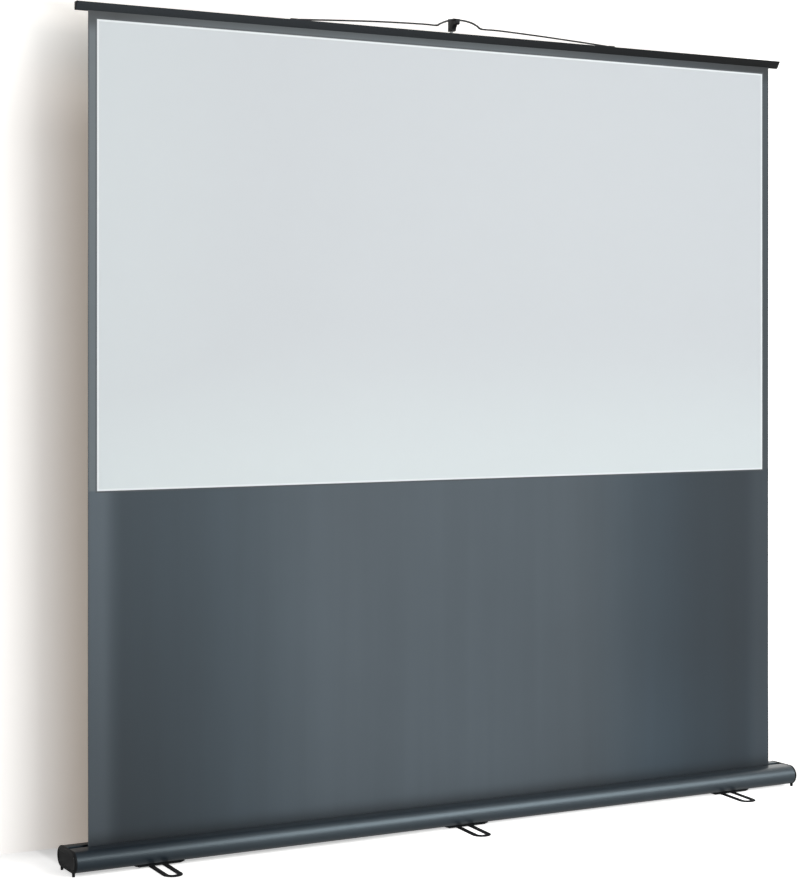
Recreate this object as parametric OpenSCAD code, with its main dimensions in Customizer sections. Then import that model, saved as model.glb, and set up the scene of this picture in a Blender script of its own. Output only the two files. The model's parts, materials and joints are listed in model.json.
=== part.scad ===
// Portable pull-up projection screen. The cloth winds onto a spring roller inside the floor case,
// and a telescopic mast behind the cloth holds its top bar up by a hook and a cord.
// Origin on the floor under the middle of the case, X along the case, Y to the back, Z up.

/* [Screen cloth] */
// Width of the white picture area
picture_w = 2214; // [1500:1:2400]
// Height of the white picture area
picture_h = 1245; // [1100:1:1350]
// Width of the dark border beside the picture
border_w = 25; // [10:1:60]
// Height of the dark border above the picture
top_border = 21; // [10:1:60]
// Height of the dark cloth between the case and the picture
drop_h = 933.5; // [850:0.5:1100]
// Thickness of the cloth
cloth_t = 0.5; // [0.3:0.1:0.8]

/* [Top bar] */
// Length of the bar past each edge of the cloth
bar_over = 35.5; // [20:0.5:60]
// Height of the bar
bar_h = 21; // [18:0.5:28]
// How far the flat top reaches in front of the cloth
bar_front = 14.5; // [12:0.5:18]
// How far the flat top reaches behind the cloth
bar_back = 6; // [5:0.1:6]
// Depth of the rear lip below the bar
bar_lip = 1; // [0.5:0.5:7]
// Wall of the bar
bar_wall = 1.5; // [1.2:0.1:1.8]
// Thickness of the bar's end plates
bar_cap_t = 2; // [1:0.5:4]
// Radius of the rod that clamps the cloth in the bar
clamp_rod_r = 1.8; // [1.2:0.1:1.9]

/* [Case] */
// Length of the case past each end of the bar
case_over = 17.5; // [5:0.5:40]
// Height of the case
case_h = 56; // [56:1:64]
// Distance from the cloth to the centre of the case's round front
case_front = 38; // [36:1:60]
// Distance from the cloth to the centre of the case's round back
case_back = 44; // [44:1:60]
// Wall of the case
case_wall = 2; // [1.6:0.1:2.4]
// Height of the case above the floor
case_lift = 8.5; // [8:0.1:12]
// Distance from the cloth to the front edge of the slot
slot_front = 2; // [1.5:0.1:3]
// Distance from the cloth to the back edge of the slot
slot_back = 20; // [14:0.5:22]
// Depth of the folded edges of the slot
slot_lip = 5; // [3:0.5:6]
// Thickness of the end caps
cap_t = 7; // [6:0.5:14]
// How far an end cap stands proud of the case all round
cap_proud = 0.6; // [0.2:0.1:1.5]
// Bevel round the end caps
cap_bevel = 2.5; // [1:0.5:4]
// Radius of the screw channels inside the case
channel_r = 4.2; // [3.4:0.1:5]
// Radius of the screws
screw_r = 1.5; // [1.2:0.1:1.8]

/* [Feet] */
// Distance from an end of the case to the middle of the foot nearest to it
foot_inset = 238; // [150:1:700]
// Length of a foot
foot_len = 345; // [260:1:420]
// Width of a foot
foot_w = 54.4; // [50:0.2:80]
// Width of the long slots in a foot
foot_gap = 26.8; // [18:0.2:28]
// Thickness of a foot
foot_t = 3.2; // [3:0.1:5]
// Edge chamfer of a foot
foot_edge = 0.9; // [0.5:0.1:1.4]
// How far the left foot is turned out of square, in degrees
left_turn = 2.4; // [0:0.1:10]
// How far the centre foot is turned out of square, in degrees
centre_turn = 4.8; // [0:0.1:10]
// How far the right foot is turned out of square, in degrees
right_turn = 6.3; // [0:0.1:10]
// Radius of the hub in the middle of a foot
foot_hub_r = 18; // [16:0.5:22]
// Length of the plate that holds a foot
plate_len = 142; // [120:1:200]
// Width of the plate that holds a foot
plate_w = 50; // [40:1:72]
// Radius of the boss that a foot turns on
foot_boss_r = 9; // [7:0.5:10]

/* [Spring roller] */
// Radius of the roller tube
roller_r = 16; // [14:0.5:16]
// Wall of the roller tube
roller_wall = 1.2; // [1:0.1:1.6]
// Length of the roller tube past each edge of the cloth
roller_over = 8; // [4:1:14]
// Thickness of the turns of cloth left on the roller when the screen is up
wrap_t = 0.9; // [0.5:0.1:1.5]
// Radius of the fixed pins that the roller turns on
pin_r = 4; // [3:0.5:5]
// Radius of the spring's turns
spring_r = 10; // [8:0.5:12]
// Thickness of the spring's wire
spring_wire = 2; // [1.6:0.1:2.4]
// Length of the spring
spring_len = 400; // [300:10:480]
// Turns of the spring
spring_turns = 20; // [8:1:24]

/* [Mast] */
// Distance of the mast behind the cloth
mast_y = 44; // [40:1:44]
// Radius of the lower tube
lower_r = 12.5; // [12:0.5:14]
// Radius of the middle tube
middle_r = 10.5; // [10:0.1:11]
// Radius of the upper tube
upper_r = 8.5; // [8:0.1:9]
// Wall of the lower tube
lower_wall = 1.2; // [1:0.1:1.2]
// Wall of the middle tube
middle_wall = 1; // [0.8:0.1:1]
// Wall of the upper tube
upper_wall = 1; // [0.8:0.1:1.4]
// Length of the lower tube
lower_len = 776; // [700:1:800]
// Length of the middle tube
middle_len = 774; // [700:1:800]
// How far a tube stays inside the next one
tube_hold = 44; // [40:1:60]
// Height of a collar below the end of its tube
collar_below = 30; // [20:1:34]
// Height of a collar above the end of its tube
collar_above = 8; // [6:1:10]
// Wall of the collars
collar_wall = 3; // [2.5:0.1:4]
// Thickness of the mast's foot plate on the case
clevis_plate_t = 3; // [2:0.5:5]
// Thickness of the ears that hold the mast
ear_t = 3.5; // [3:0.5:5]
// Half width of the tongue between the ears
tongue_half = 7; // [5:0.5:8]
// Radius of the hinge pin of the mast
hinge_pin_r = 4; // [3:0.5:5]

/* [Hook and cord] */
// Width of the hook
hook_w = 14; // [12:0.5:20]
// Height of the hook
hook_h = 37.3; // [34:0.1:44]
// How much lower the hook's top is at its nose than at its back
hook_drop = 4.5; // [0:0.1:5]
// Height of the hook above the bar
hook_gap = 14; // [12:0.5:20]
// Distance of the hook's nose behind the cloth
hook_nose_y = 7.5; // [7:0.1:8]
// Distance of the back of the hook behind the cloth
hook_back_y = 52; // [50:0.5:56]
// Radius of the rounded nose
nose_r = 6; // [5:0.5:6.5]
// Thickness of the cord
cord_d = 4.2; // [2:0.1:4.4]
// Thickness of the grip sleeve on the cord
sleeve_d = 5.2; // [4.5:0.1:5.4]
// Distance of the cord's anchors from the middle of the bar
anchor_x = 533; // [520:1:700]

/* [Hidden] */
$fn = 64;
// Gap between faces that pass each other
gap = 0.3;
// Radial gap of a running fit
fit = 0.05;
// Extra length of a cutting shape
cut = 1;

cloth_w = picture_w + 2 * border_w;
bar_len = cloth_w + 2 * bar_over;
case_len = bar_len + 2 * case_over;
case_r = case_h / 2;
case_z = case_lift + case_r;
case_top = case_lift + case_h;
case_in = case_r - case_wall;
bar_z = case_top + drop_h + picture_h + top_border;
bar_top = bar_z + bar_h;

// Inner room of the bar
mouth_gap = 0.25;
mouth_half = cloth_t / 2 + mouth_gap;
front_slope = (bar_front - mouth_half) / bar_h;
front_skin = bar_wall * sqrt(1 + front_slope * front_slope);
mouth_top = 3.2;
rod_y = cloth_t / 2 + clamp_rod_r + 0.45;
rod_z = mouth_top + 1;

// The cloth leaves the roller at its back
leave_gap = 0.1;
roller_y = -(roller_r + wrap_t + cloth_t / 2 + leave_gap);
roller_half = cloth_w / 2 + roller_over;
holder_t = 3;
holder_r = 20;
holder_wall = 4;
plug_flange = 3;
plug_in = 22;
shaft_in = 20;
spring_end = roller_half - plug_in - gap;
spring_start = spring_end - spring_len;
collar_len = 16;

// Places of the screws in the end caps
channel_bite = 0.7;
channel_off = (case_in - channel_r + channel_bite) / sqrt(2);
screw_ys = [-case_front - channel_off, case_back + channel_off];
cap_r = case_r + cap_proud;
head_r = 3;
head_t = 2;
head_sink = 0.5;
head_gap = 0.2;
drive_r = 1.4;

// Feet and their plates
foot_x = case_len / 2 - foot_inset;
foot_plate_t = case_lift - foot_t - gap;
foot_bore_r = foot_boss_r + fit;
washer_r = foot_boss_r + 3;
washer_t = 1.2;
washer_up = 0.3;
foot_sink = washer_up + washer_t + gap;

// Mast
clevis_top = case_top + clevis_plate_t;
clevis_half = 30;
clevis_deep = 16;
clevis_screw_x = 23;
clevis_screw_y = 11;
folded_gap = 2.5;
pin_z = clevis_top + lower_r + folded_gap;
ear_wall = 5;
ear_r = hinge_pin_r + ear_wall;
tongue_r = ear_r - 0.5;
tongue_neck = 9;
lower_z = pin_z + tongue_r + tongue_neck;
shoulder_t = 4;
plug_len = 26;
lower_top = lower_z + lower_len;
bush_t = 6;
bush_in = 10;
middle_z = lower_top - tube_hold;
middle_top = middle_z + middle_len;
upper_z = middle_top - tube_hold;
hook_z = bar_top + hook_gap;
flange_t = 4;
neck_r = 4.5;
neck_len = 11;
upper_top = hook_z - neck_len - flange_t;
hook_top = hook_z + hook_h;
groove_back = 3.5;
groove_deep = 6.7;
groove_y = hook_nose_y + nose_r + groove_back;
groove_z = hook_top - groove_deep;

// The cord's route above the bar, from the left anchor over the hook to the right anchor
anchor_h = 4.4;
anchor_w = 10;
anchor_l = 24;
route = [
  [-anchor_x + anchor_l / 2, 0, 2.2],
  [-500, 0.3, 3.7],
  [-470, 0.6, 5.4],
  [-420, 1.2, 8.6],
  [-350, 2, 12.5],
  [-265, 2.4, 16.8],
  [-128, 3, 21],
  [-75, 4, 21.2],
  [-61, 7, 26.8],
  [-46, 10, 33.2],
  [-31, 13.2, 38.6],
  [-14, 16.2, 43.5],
  [0, 17, 44.6],
  [14, 16.4, 44],
  [27, 14.2, 42.9],
  [40, 11.6, 40.3],
  [52, 9, 36.2],
  [65, 6.4, 29.4],
  [79, 4, 21.4],
  [128, 3, 21.2],
  [200, 3, 18.9],
  [285, 2.2, 15.3],
  [370, 1.8, 11],
  [450, 1, 6.6],
  [anchor_x - anchor_l / 2, 0, 2.2]
];
route_steps = 3;
// Index of the route's point in the hook's groove
route_top = 12;
cord_y0 = groove_y - route[route_top].y;
sleeve_from = 7;
sleeve_to = 18;

// Paint and plain materials
case_paint = [0.27, 0.30, 0.35];
black_plastic = [0.13, 0.13, 0.14];
bar_paint = [0.20, 0.20, 0.21];
alloy = [0.72, 0.73, 0.75];
steel = [0.62, 0.63, 0.65];
dark_cloth = [0.32, 0.36, 0.40];

// Shared shapes

// Extrudes a profile drawn in Y and Z along X, centred
module along_x(len) {
  translate([-len / 2, 0, 0]) rotate([90, 0, 90]) linear_extrude(len) children();
}

// Round bar along X from x0 to x1
module rod_x(x0, x1, r) {
  translate([x0, 0, 0]) rotate([0, 90, 0]) cylinder(h = x1 - x0, r = r);
}

// Outline of the case, with a round front and back
module stadium(r) {
  translate([-case_front, 0]) circle(r);
  translate([case_back, 0]) circle(r);
  translate([-case_front, -r]) square([case_front + case_back, 2 * r]);
}

// Plate with the case's outline, lying from x = 0 to x = t, with a bevel on the face at x = t
module bevelled_plate(r, t, bevel) {
  rotate([90, 0, 90]) linear_extrude(t - bevel) stadium(r);
  for (y = [-case_front, case_back]) translate([t - bevel, y, 0]) rotate([0, 90, 0])
    cylinder(h = bevel, r1 = r, r2 = r - bevel);
  translate([0, case_back, 0]) rotate([90, 0, 0]) linear_extrude(case_front + case_back)
    polygon([[t - bevel, -r], [t, -r + bevel], [t, r - bevel], [t - bevel, r]]);
}

function mix(a, b, c, d, t) = 0.5 * (2 * b + (c - a) * t + (2 * a - 5 * b + 4 * c - d) * t * t
  + (3 * b - a - 3 * c + d) * t * t * t);
function smooth(p, n) = concat(
  [for (i = [0:len(p) - 2]) for (k = [0:n - 1])
    mix(p[max(i - 1, 0)], p[i], p[i + 1], p[min(i + 2, len(p) - 1)], k / n)],
  [p[len(p) - 1]]);
function unit(v) = v / norm(v);
function heading(p, i) = unit(p[min(i + 1, len(p) - 1)] - p[max(i - 1, 0)]);
function ring(p, i, r, sides, radial) =
  let (t = heading(p, i), up = radial ? [0, p[i].y, p[i].z] : [0, 0, 1],
    s = unit(cross(t, up)), n = cross(s, t))
  [for (k = [0:sides - 1]) p[i] + r * (cos(360 * k / sides) * s + sin(360 * k / sides) * n)];

// Sweeps a round tube along the points from index a to index b, which wind about X if radial
module sweep(p, a, b, r, sides, radial = false) {
  rings = b - a + 1;
  points = [for (i = [a:b]) each ring(p, i, r, sides, radial)];
  walls = [for (i = [0:rings - 2]) for (k = [0:sides - 1])
    let (m = (k + 1) % sides)
    each [[i * sides + k, (i + 1) * sides + k, (i + 1) * sides + m],
      [i * sides + k, (i + 1) * sides + m, i * sides + m]]];
  first = [for (k = [1:sides - 2]) [0, k, k + 1]];
  last = [for (k = [1:sides - 2]) [(rings - 1) * sides, (rings - 1) * sides + k + 1,
    (rings - 1) * sides + k]];
  polyhedron(points = points, faces = concat(walls, first, last));
}

// Case

module case_profile() {
  difference() {
    union() {
      difference() {
        stadium(case_r);
        stadium(case_in);
      }
      // folded edges of the slot
      translate([-slot_front - case_wall, case_in - slot_lip])
        square([case_wall, slot_lip + case_wall / 2]);
      translate([slot_back, case_in - slot_lip]) square([case_wall, slot_lip + case_wall / 2]);
      // screw channels
      for (y = screw_ys) for (z = [-1, 1])
        translate([y, z * channel_off]) circle(channel_r);
    }
    translate([-slot_front, 0]) square([slot_front + slot_back, case_r + cut]);
    for (y = screw_ys) for (z = [-1, 1])
      translate([y, z * channel_off]) circle(screw_r + fit);
  }
}

module case_extrusion() {
  color(case_paint) translate([0, 0, case_z]) along_x(case_len) case_profile();
}

// End cap for the +X end, standing on two small stub feet
module end_cap() {
  tongue_w = 60;
  tongue_l = 10;
  tongue_t = 2.2;
  panel_in = 9;
  panel_sink = 1;
  stub_w = 9;
  stub_t = 6;
  stub_y = 44;
  stub_taper = 2;
  difference() {
    union() {
      translate([0, 0, case_z]) bevelled_plate(cap_r, cap_t, cap_bevel);
      // tongue that lies on the floor of the case
      translate([-tongue_l, -tongue_w / 2, case_lift + case_wall + gap / 2])
        cube([tongue_l + cut, tongue_w, tongue_t]);
      // stub feet, narrower at the floor
      for (side = [-1, 1]) translate([0, side * stub_y, 0]) rotate([90, 0, 90])
        linear_extrude(stub_t)
          polygon([[-stub_w / 2 + stub_taper, 0], [stub_w / 2 - stub_taper, 0],
            [stub_w / 2, case_lift + cap_bevel], [-stub_w / 2, case_lift + cap_bevel]]);
    }
    // sunk panel
    translate([cap_t - panel_sink, 0, case_z]) rotate([90, 0, 90])
      linear_extrude(panel_sink + cut) stadium(cap_r - panel_in);
    // screw holes and their countersinks
    for (y = screw_ys) for (z = [-1, 1])
      translate([0, y, case_z + z * channel_off]) {
        rod_x(-cut, cap_t + cut, screw_r + fit);
        rod_x(cap_t - head_t - head_sink, cap_t + cut, head_r + head_gap);
      }
  }
}

module right_end_cap() {
  color(black_plastic) translate([case_len / 2, 0, 0]) end_cap();
}

module left_end_cap() {
  color(black_plastic) mirror([1, 0, 0]) translate([case_len / 2, 0, 0]) end_cap();
}

module end_cap_screws() {
  screw_in = 20;
  head_x = case_len / 2 + cap_t - head_t - head_sink;
  color(steel) for (end = [0, 1]) mirror([end, 0, 0]) for (y = screw_ys) for (z = [-1, 1])
    translate([0, y, case_z + z * channel_off]) difference() {
      union() {
        rod_x(case_len / 2 - screw_in, head_x + head_t / 2, screw_r);
        rod_x(head_x, head_x + head_t, head_r);
      }
      rod_x(head_x + head_t / 2, head_x + head_t + cut, drive_r);
    }
}

// Spring roller

module roller_holder() {
  translate([case_len / 2 - holder_t, roller_y, case_z]) difference() {
    union() {
      rod_x(0, holder_t, holder_r);
      rod_x(-holder_t, holder_t, pin_r + holder_wall);
    }
    rod_x(-holder_t - cut, holder_t + cut, pin_r);
  }
}

module right_roller_holder() {
  color(steel) roller_holder();
}

module left_roller_holder() {
  color(steel) mirror([1, 0, 0]) roller_holder();
}

module idler_pin() {
  color(steel) translate([0, roller_y, case_z])
    rod_x(-case_len / 2 + gap / 2, -roller_half + shaft_in, pin_r);
}

// Fixed shaft, with the collar that the spring's inner end is held by
module spring_shaft() {
  color(steel) translate([0, roller_y, case_z]) {
    rod_x(spring_start - collar_len, case_len / 2 - gap / 2, pin_r);
    rod_x(spring_start - collar_len, spring_start - gap, spring_r + spring_wire / 2);
  }
}

// Torsion spring as one unbroken wire, with a straight end at each side
module torsion_spring() {
  per_turn = 16;
  sides = 6;
  steps = spring_turns * per_turn;
  lead = 1.2 * spring_wire;
  pitch = (spring_len - 2 * lead) / spring_turns;
  coil = [for (i = [0:steps]) let (a = 360 * i / per_turn)
    [spring_start + lead + pitch * i / per_turn, spring_r * cos(a), spring_r * sin(a)]];
  wire = concat([coil[0] - [lead, 0, 0]], coil, [coil[steps] + [lead, 0, 0]]);
  // Least clear space between any point of a turn and the next turn
  turn_gap = min([for (i = [0:per_turn]) for (k = [-3:3])
    norm(coil[i + per_turn + k] - coil[i])]) - spring_wire;
  echo(spring_turn_gap = turn_gap);
  color(steel) translate([0, roller_y, case_z])
    sweep(wire, 0, len(wire) - 1, spring_wire / 2, sides, true);
}

module roller_tube() {
  color(alloy) translate([0, roller_y, case_z]) along_x(2 * roller_half) difference() {
    circle(roller_r);
    circle(roller_r - roller_wall);
  }
}

// Plug in the end of the roller tube, turning on a fixed pin
module roller_plug() {
  translate([0, roller_y, case_z]) difference() {
    union() {
      rod_x(roller_half - plug_in, roller_half, roller_r - roller_wall - fit);
      rod_x(roller_half, roller_half + plug_flange, roller_r);
    }
    rod_x(roller_half - plug_in - cut, roller_half + plug_flange + cut, pin_r + fit);
  }
}

module spring_plug() {
  color(black_plastic) roller_plug();
}

module idler_plug() {
  color(black_plastic) mirror([1, 0, 0]) roller_plug();
}

module wound_cloth() {
  color(dark_cloth) translate([0, roller_y, case_z]) along_x(cloth_w) difference() {
    circle(roller_r + wrap_t);
    circle(roller_r);
  }
}

// Feet

// Section of a foot's rail, from its inner edge outwards
module rail() {
  a = foot_gap / 2;
  b = foot_w / 2;
  e = foot_edge;
  polygon([[a + e / 2, 0], [b - e / 2, 0], [b, e / 2], [b, foot_t - e], [b - e, foot_t],
    [a + e, foot_t], [a, foot_t - e], [a, e / 2]]);
}

module foot() {
  straight = foot_len / 2 - foot_w / 2;
  difference() {
    union() {
      for (side = [0, 1]) mirror([side, 0, 0])
        translate([0, straight, 0]) rotate([90, 0, 0]) linear_extrude(2 * straight) rail();
      translate([0, straight, 0]) rotate_extrude(angle = 180) rail();
      translate([0, -straight, 0]) rotate([0, 0, 180]) rotate_extrude(angle = 180) rail();
      cylinder(h = foot_t, r = foot_hub_r);
    }
    translate([0, 0, -cut]) cylinder(h = foot_t + 2 * cut, r = foot_bore_r);
    translate([0, 0, -cut]) cylinder(h = foot_sink + cut, r = washer_r + gap);
  }
}

module left_foot() {
  color(black_plastic) translate([-foot_x, 0, 0]) rotate(-left_turn) foot();
}

module centre_foot() {
  color(black_plastic) rotate(-centre_turn) foot();
}

module right_foot() {
  color(black_plastic) translate([foot_x, 0, 0]) rotate(-right_turn) foot();
}

// Plate under the case with the boss that a foot turns on
module foot_plate() {
  taper = 12;
  edge_t = 1;
  boss_end = foot_sink + fit;
  difference() {
    union() {
      translate([0, plate_w / 2, 0]) rotate([90, 0, 0]) linear_extrude(plate_w)
        polygon([[-plate_len / 2, case_lift], [-plate_len / 2, case_lift - edge_t],
          [-plate_len / 2 + taper, case_lift - foot_plate_t],
          [plate_len / 2 - taper, case_lift - foot_plate_t],
          [plate_len / 2, case_lift - edge_t], [plate_len / 2, case_lift]]);
      translate([0, 0, boss_end]) cylinder(h = case_lift - boss_end, r = foot_boss_r);
    }
    translate([0, 0, -cut]) cylinder(h = case_lift + 2 * cut, r = screw_r + fit);
  }
}

module left_foot_plate() {
  color(black_plastic) translate([-foot_x, 0, 0]) foot_plate();
}

module centre_foot_plate() {
  color(black_plastic) foot_plate();
}

module right_foot_plate() {
  color(black_plastic) translate([foot_x, 0, 0]) foot_plate();
}

module foot_pivot_screws() {
  socket_r = 2.4;
  color(steel) for (k = [-1:1]) translate([k * foot_x, 0, washer_up]) difference() {
    union() {
      cylinder(h = washer_t, r = washer_r);
      cylinder(h = case_lift - washer_up, r = screw_r);
    }
    translate([0, 0, -cut]) cylinder(h = cut + washer_t / 2, r = socket_r, $fn = 6);
  }
}

// Mast

// Foot plate with two ears, shaped to the top of the case
module mast_clevis() {
  ears_half = tongue_half + gap + ear_t;
  color(black_plastic) difference() {
    union() {
      translate([-clevis_half, mast_y - clevis_deep, case_z])
        cube([2 * clevis_half, 2 * clevis_deep, clevis_top - case_z]);
      for (side = [-1, 1]) translate([0, mast_y + side * (tongue_half + gap + ear_t / 2), 0]) {
        translate([0, ear_t / 2, pin_z]) rotate([90, 0, 0]) cylinder(h = ear_t, r = ear_r);
        translate([-ear_r, -ear_t / 2, clevis_top - cut])
          cube([2 * ear_r, ear_t, pin_z - clevis_top + cut]);
      }
    }
    translate([0, 0, case_z]) along_x(2 * (clevis_half + cut)) stadium(case_r);
    translate([0, mast_y + ears_half + cut, pin_z]) rotate([90, 0, 0])
      cylinder(h = 2 * (ears_half + cut), r = hinge_pin_r);
    for (x = [-1, 1]) for (y = [-1, 1])
      translate([x * clevis_screw_x, mast_y + y * clevis_screw_y, case_z])
        cylinder(h = case_h, r = screw_r);
  }
}

module clevis_screws() {
  head_h = 1.6;
  head_taper = 0.6;
  color(steel) for (x = [-1, 1]) for (y = [-1, 1])
    translate([x * clevis_screw_x, mast_y + y * clevis_screw_y, clevis_top])
      difference() {
        union() {
          cylinder(h = head_h, r1 = head_r, r2 = head_r - head_taper);
          translate([0, 0, -clevis_plate_t + 0.5]) cylinder(h = clevis_plate_t, r = screw_r);
        }
        translate([0, 0, head_h / 2]) cylinder(h = cut + head_h, r = drive_r, $fn = 6);
      }
}

module mast_hinge_pin() {
  pin_proud = 1.5;
  pin_half = tongue_half + gap + ear_t + pin_proud;
  color(steel) translate([0, mast_y + pin_half, pin_z]) rotate([90, 0, 0])
    cylinder(h = 2 * pin_half, r = hinge_pin_r);
}

// Plug in the foot of the lower tube, with the tongue that turns on the hinge pin
module mast_foot_plug() {
  color(black_plastic) difference() {
    union() {
      translate([0, mast_y, lower_z]) cylinder(h = plug_len, r = lower_r - lower_wall - fit);
      translate([0, mast_y, lower_z - shoulder_t]) cylinder(h = shoulder_t, r = lower_r);
      translate([0, mast_y + tongue_half, pin_z]) rotate([90, 0, 0])
        cylinder(h = 2 * tongue_half, r = tongue_r);
      translate([-tongue_r, mast_y - tongue_half, pin_z])
        cube([2 * tongue_r, 2 * tongue_half, lower_z - shoulder_t / 2 - pin_z]);
    }
    translate([0, mast_y + tongue_half + cut, pin_z]) rotate([90, 0, 0])
      cylinder(h = 2 * (tongue_half + cut), r = hinge_pin_r + fit);
  }
}

module tube(z0, z1, r, wall) {
  translate([0, mast_y, z0]) difference() {
    cylinder(h = z1 - z0, r = r);
    translate([0, 0, -cut]) cylinder(h = z1 - z0 + 2 * cut, r = r - wall);
  }
}

module lower_tube() {
  color(alloy) tube(lower_z, lower_top, lower_r, lower_wall);
}

module middle_tube() {
  color(alloy) tube(middle_z, middle_top, middle_r, middle_wall);
}

module upper_tube() {
  color(alloy) tube(upper_z, upper_top, upper_r, upper_wall);
}

// Friction collar on the end of a tube of radius outer, guiding the tube of radius inner
module collar(top, outer, inner) {
  step = 2;
  groove_r = 1;
  first_groove = 6;
  groove_pitch = 4;
  grooves = 5;
  translate([0, mast_y, top - collar_below]) difference() {
    rotate_extrude() difference() {
      union() {
        square([outer + collar_wall, collar_below + collar_above - step]);
        translate([0, collar_below + collar_above - step])
          square([outer + collar_wall - step, step]);
      }
      for (k = [0:grooves - 1])
        translate([outer + collar_wall, first_groove + groove_pitch * k]) circle(groove_r);
    }
    translate([0, 0, -cut]) cylinder(h = collar_below + cut, r = outer);
    cylinder(h = collar_below + collar_above + cut, r = inner + fit);
  }
}

module lower_collar() {
  color(black_plastic) collar(lower_top, lower_r, middle_r);
}

module upper_collar() {
  color(black_plastic) collar(middle_top, middle_r, upper_r);
}

// Slide bush plugged into the foot of a tube, running in the tube of inner radius room
module bush(z, r, wall, room) {
  translate([0, mast_y, 0]) {
    translate([0, 0, z - bush_t]) cylinder(h = bush_t, r = room - fit);
    translate([0, 0, z - cut]) cylinder(h = bush_in + cut, r = r - wall);
  }
}

module middle_bush() {
  color(black_plastic) bush(middle_z, middle_r, middle_wall, lower_r - lower_wall);
}

module upper_bush() {
  color(black_plastic) bush(upper_z, upper_r, upper_wall, middle_r - middle_wall);
}

// Side view of the hook, in Y and Z
module hook_profile() {
  head_h = 15;
  corner = 2.5;
  throat = 22.5;
  arc_r = 21;
  nose_c = hook_nose_y + nose_r;
  nose_top = hook_top - hook_drop;
  head_z = hook_top - head_h;
  difference() {
    union() {
      polygon([[hook_nose_y + corner, head_z], [hook_back_y, head_z], [hook_back_y, hook_top],
        [hook_nose_y + corner, nose_top]]);
      translate([hook_nose_y, head_z]) square([nose_r, nose_top - corner - head_z]);
      translate([hook_nose_y + corner, nose_top - corner]) circle(corner);
      translate([nose_c, head_z]) circle(nose_r);
      translate([nose_c + nose_r, hook_z])
        square([hook_back_y - nose_c - nose_r, hook_top - hook_z - corner]);
    }
    translate([hook_nose_y + throat - arc_r, hook_z]) circle(arc_r);
    translate([groove_y, groove_z]) circle(sleeve_d / 2 + 2 * gap);
    translate([groove_y - sleeve_d / 2 - 2 * gap, groove_z])
      square([sleeve_d + 4 * gap, hook_top - groove_z + cut]);
  }
  translate([nose_c, head_z]) circle(nose_r);
}

module mast_hook() {
  color(black_plastic) {
    along_x(hook_w) hook_profile();
    translate([0, mast_y, hook_z - neck_len]) cylinder(h = neck_len + cut, r = neck_r);
    translate([0, mast_y, upper_top]) cylinder(h = flange_t, r = upper_r);
    translate([0, mast_y, upper_top - plug_len])
      cylinder(h = plug_len + cut, r = upper_r - upper_wall);
  }
}

// Top bar

function bar_front_y(z) = -bar_front + (bar_h - z) * front_slope;

module bar_outline() {
  polygon([[-bar_front, bar_h], [bar_back, bar_h], [bar_back, -bar_lip],
    [mouth_half + bar_lip * front_slope, -bar_lip], [mouth_half, 0], [-mouth_half, 0]]);
}

module bar_profile() {
  difference() {
    bar_outline();
    polygon([[bar_front_y(bar_h - bar_wall) + front_skin, bar_h - bar_wall],
      [bar_back - bar_wall, bar_h - bar_wall], [bar_back - bar_wall, bar_wall],
      [bar_front_y(bar_wall) + front_skin, bar_wall]]);
    translate([-mouth_half, -cut]) square([2 * mouth_half, mouth_top + cut]);
  }
}

module top_bar() {
  color(bar_paint) translate([0, 0, bar_z]) along_x(bar_len - 2 * bar_cap_t) bar_profile();
}

module bar_cap() {
  insert_l = 8;
  insert_w = 6;
  insert_h = 9;
  insert_gap = 1;
  translate([bar_len / 2 - bar_cap_t, 0, bar_z]) {
    rotate([90, 0, 90]) linear_extrude(bar_cap_t) bar_outline();
    translate([-insert_l, bar_back - bar_wall - insert_gap - insert_w,
      bar_h - bar_wall - insert_gap - insert_h]) cube([insert_l + cut, insert_w, insert_h]);
  }
}

module right_bar_cap() {
  color(black_plastic) bar_cap();
}

module left_bar_cap() {
  color(black_plastic) mirror([1, 0, 0]) bar_cap();
}

module cloth_clamp_rod() {
  color(steel) translate([0, rod_y, bar_z + rod_z]) rod_x(-cloth_w / 2, cloth_w / 2, clamp_rod_r);
}

// Block that holds an end of the cord on top of the bar
module cord_anchor() {
  anchor_slope = 5;
  translate([anchor_x - anchor_l / 2, cord_y0, bar_top]) rotate([90, 0, 0])
    translate([0, 0, -anchor_w / 2]) linear_extrude(anchor_w)
      polygon([[0, 0], [anchor_l, 0], [anchor_l, anchor_h / 3],
        [anchor_l - anchor_slope, anchor_h], [0, anchor_h]]);
}

module right_cord_anchor() {
  color(black_plastic) cord_anchor();
}

module left_cord_anchor() {
  color(black_plastic) mirror([1, 0, 0]) cord_anchor();
}

cord_path = [for (p = smooth(route, route_steps)) p + [0, cord_y0, bar_top]];
cord_last = len(cord_path) - 1;

module lift_cord() {
  color(black_plastic) {
    sweep(cord_path, 0, sleeve_from * route_steps, cord_d / 2, 8);
    sweep(cord_path, sleeve_to * route_steps, cord_last, cord_d / 2, 8);
  }
}

module grip_sleeve() {
  color(black_plastic)
    sweep(cord_path, sleeve_from * route_steps, sleeve_to * route_steps, sleeve_d / 2, 8);
}

// Cloth from the roller to the clamp in the bar
module screen_cloth() {
  color(dark_cloth) translate([-cloth_w / 2, -cloth_t / 2, case_z])
    cube([cloth_w, cloth_t, bar_z + rod_z - case_z]);
}

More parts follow.
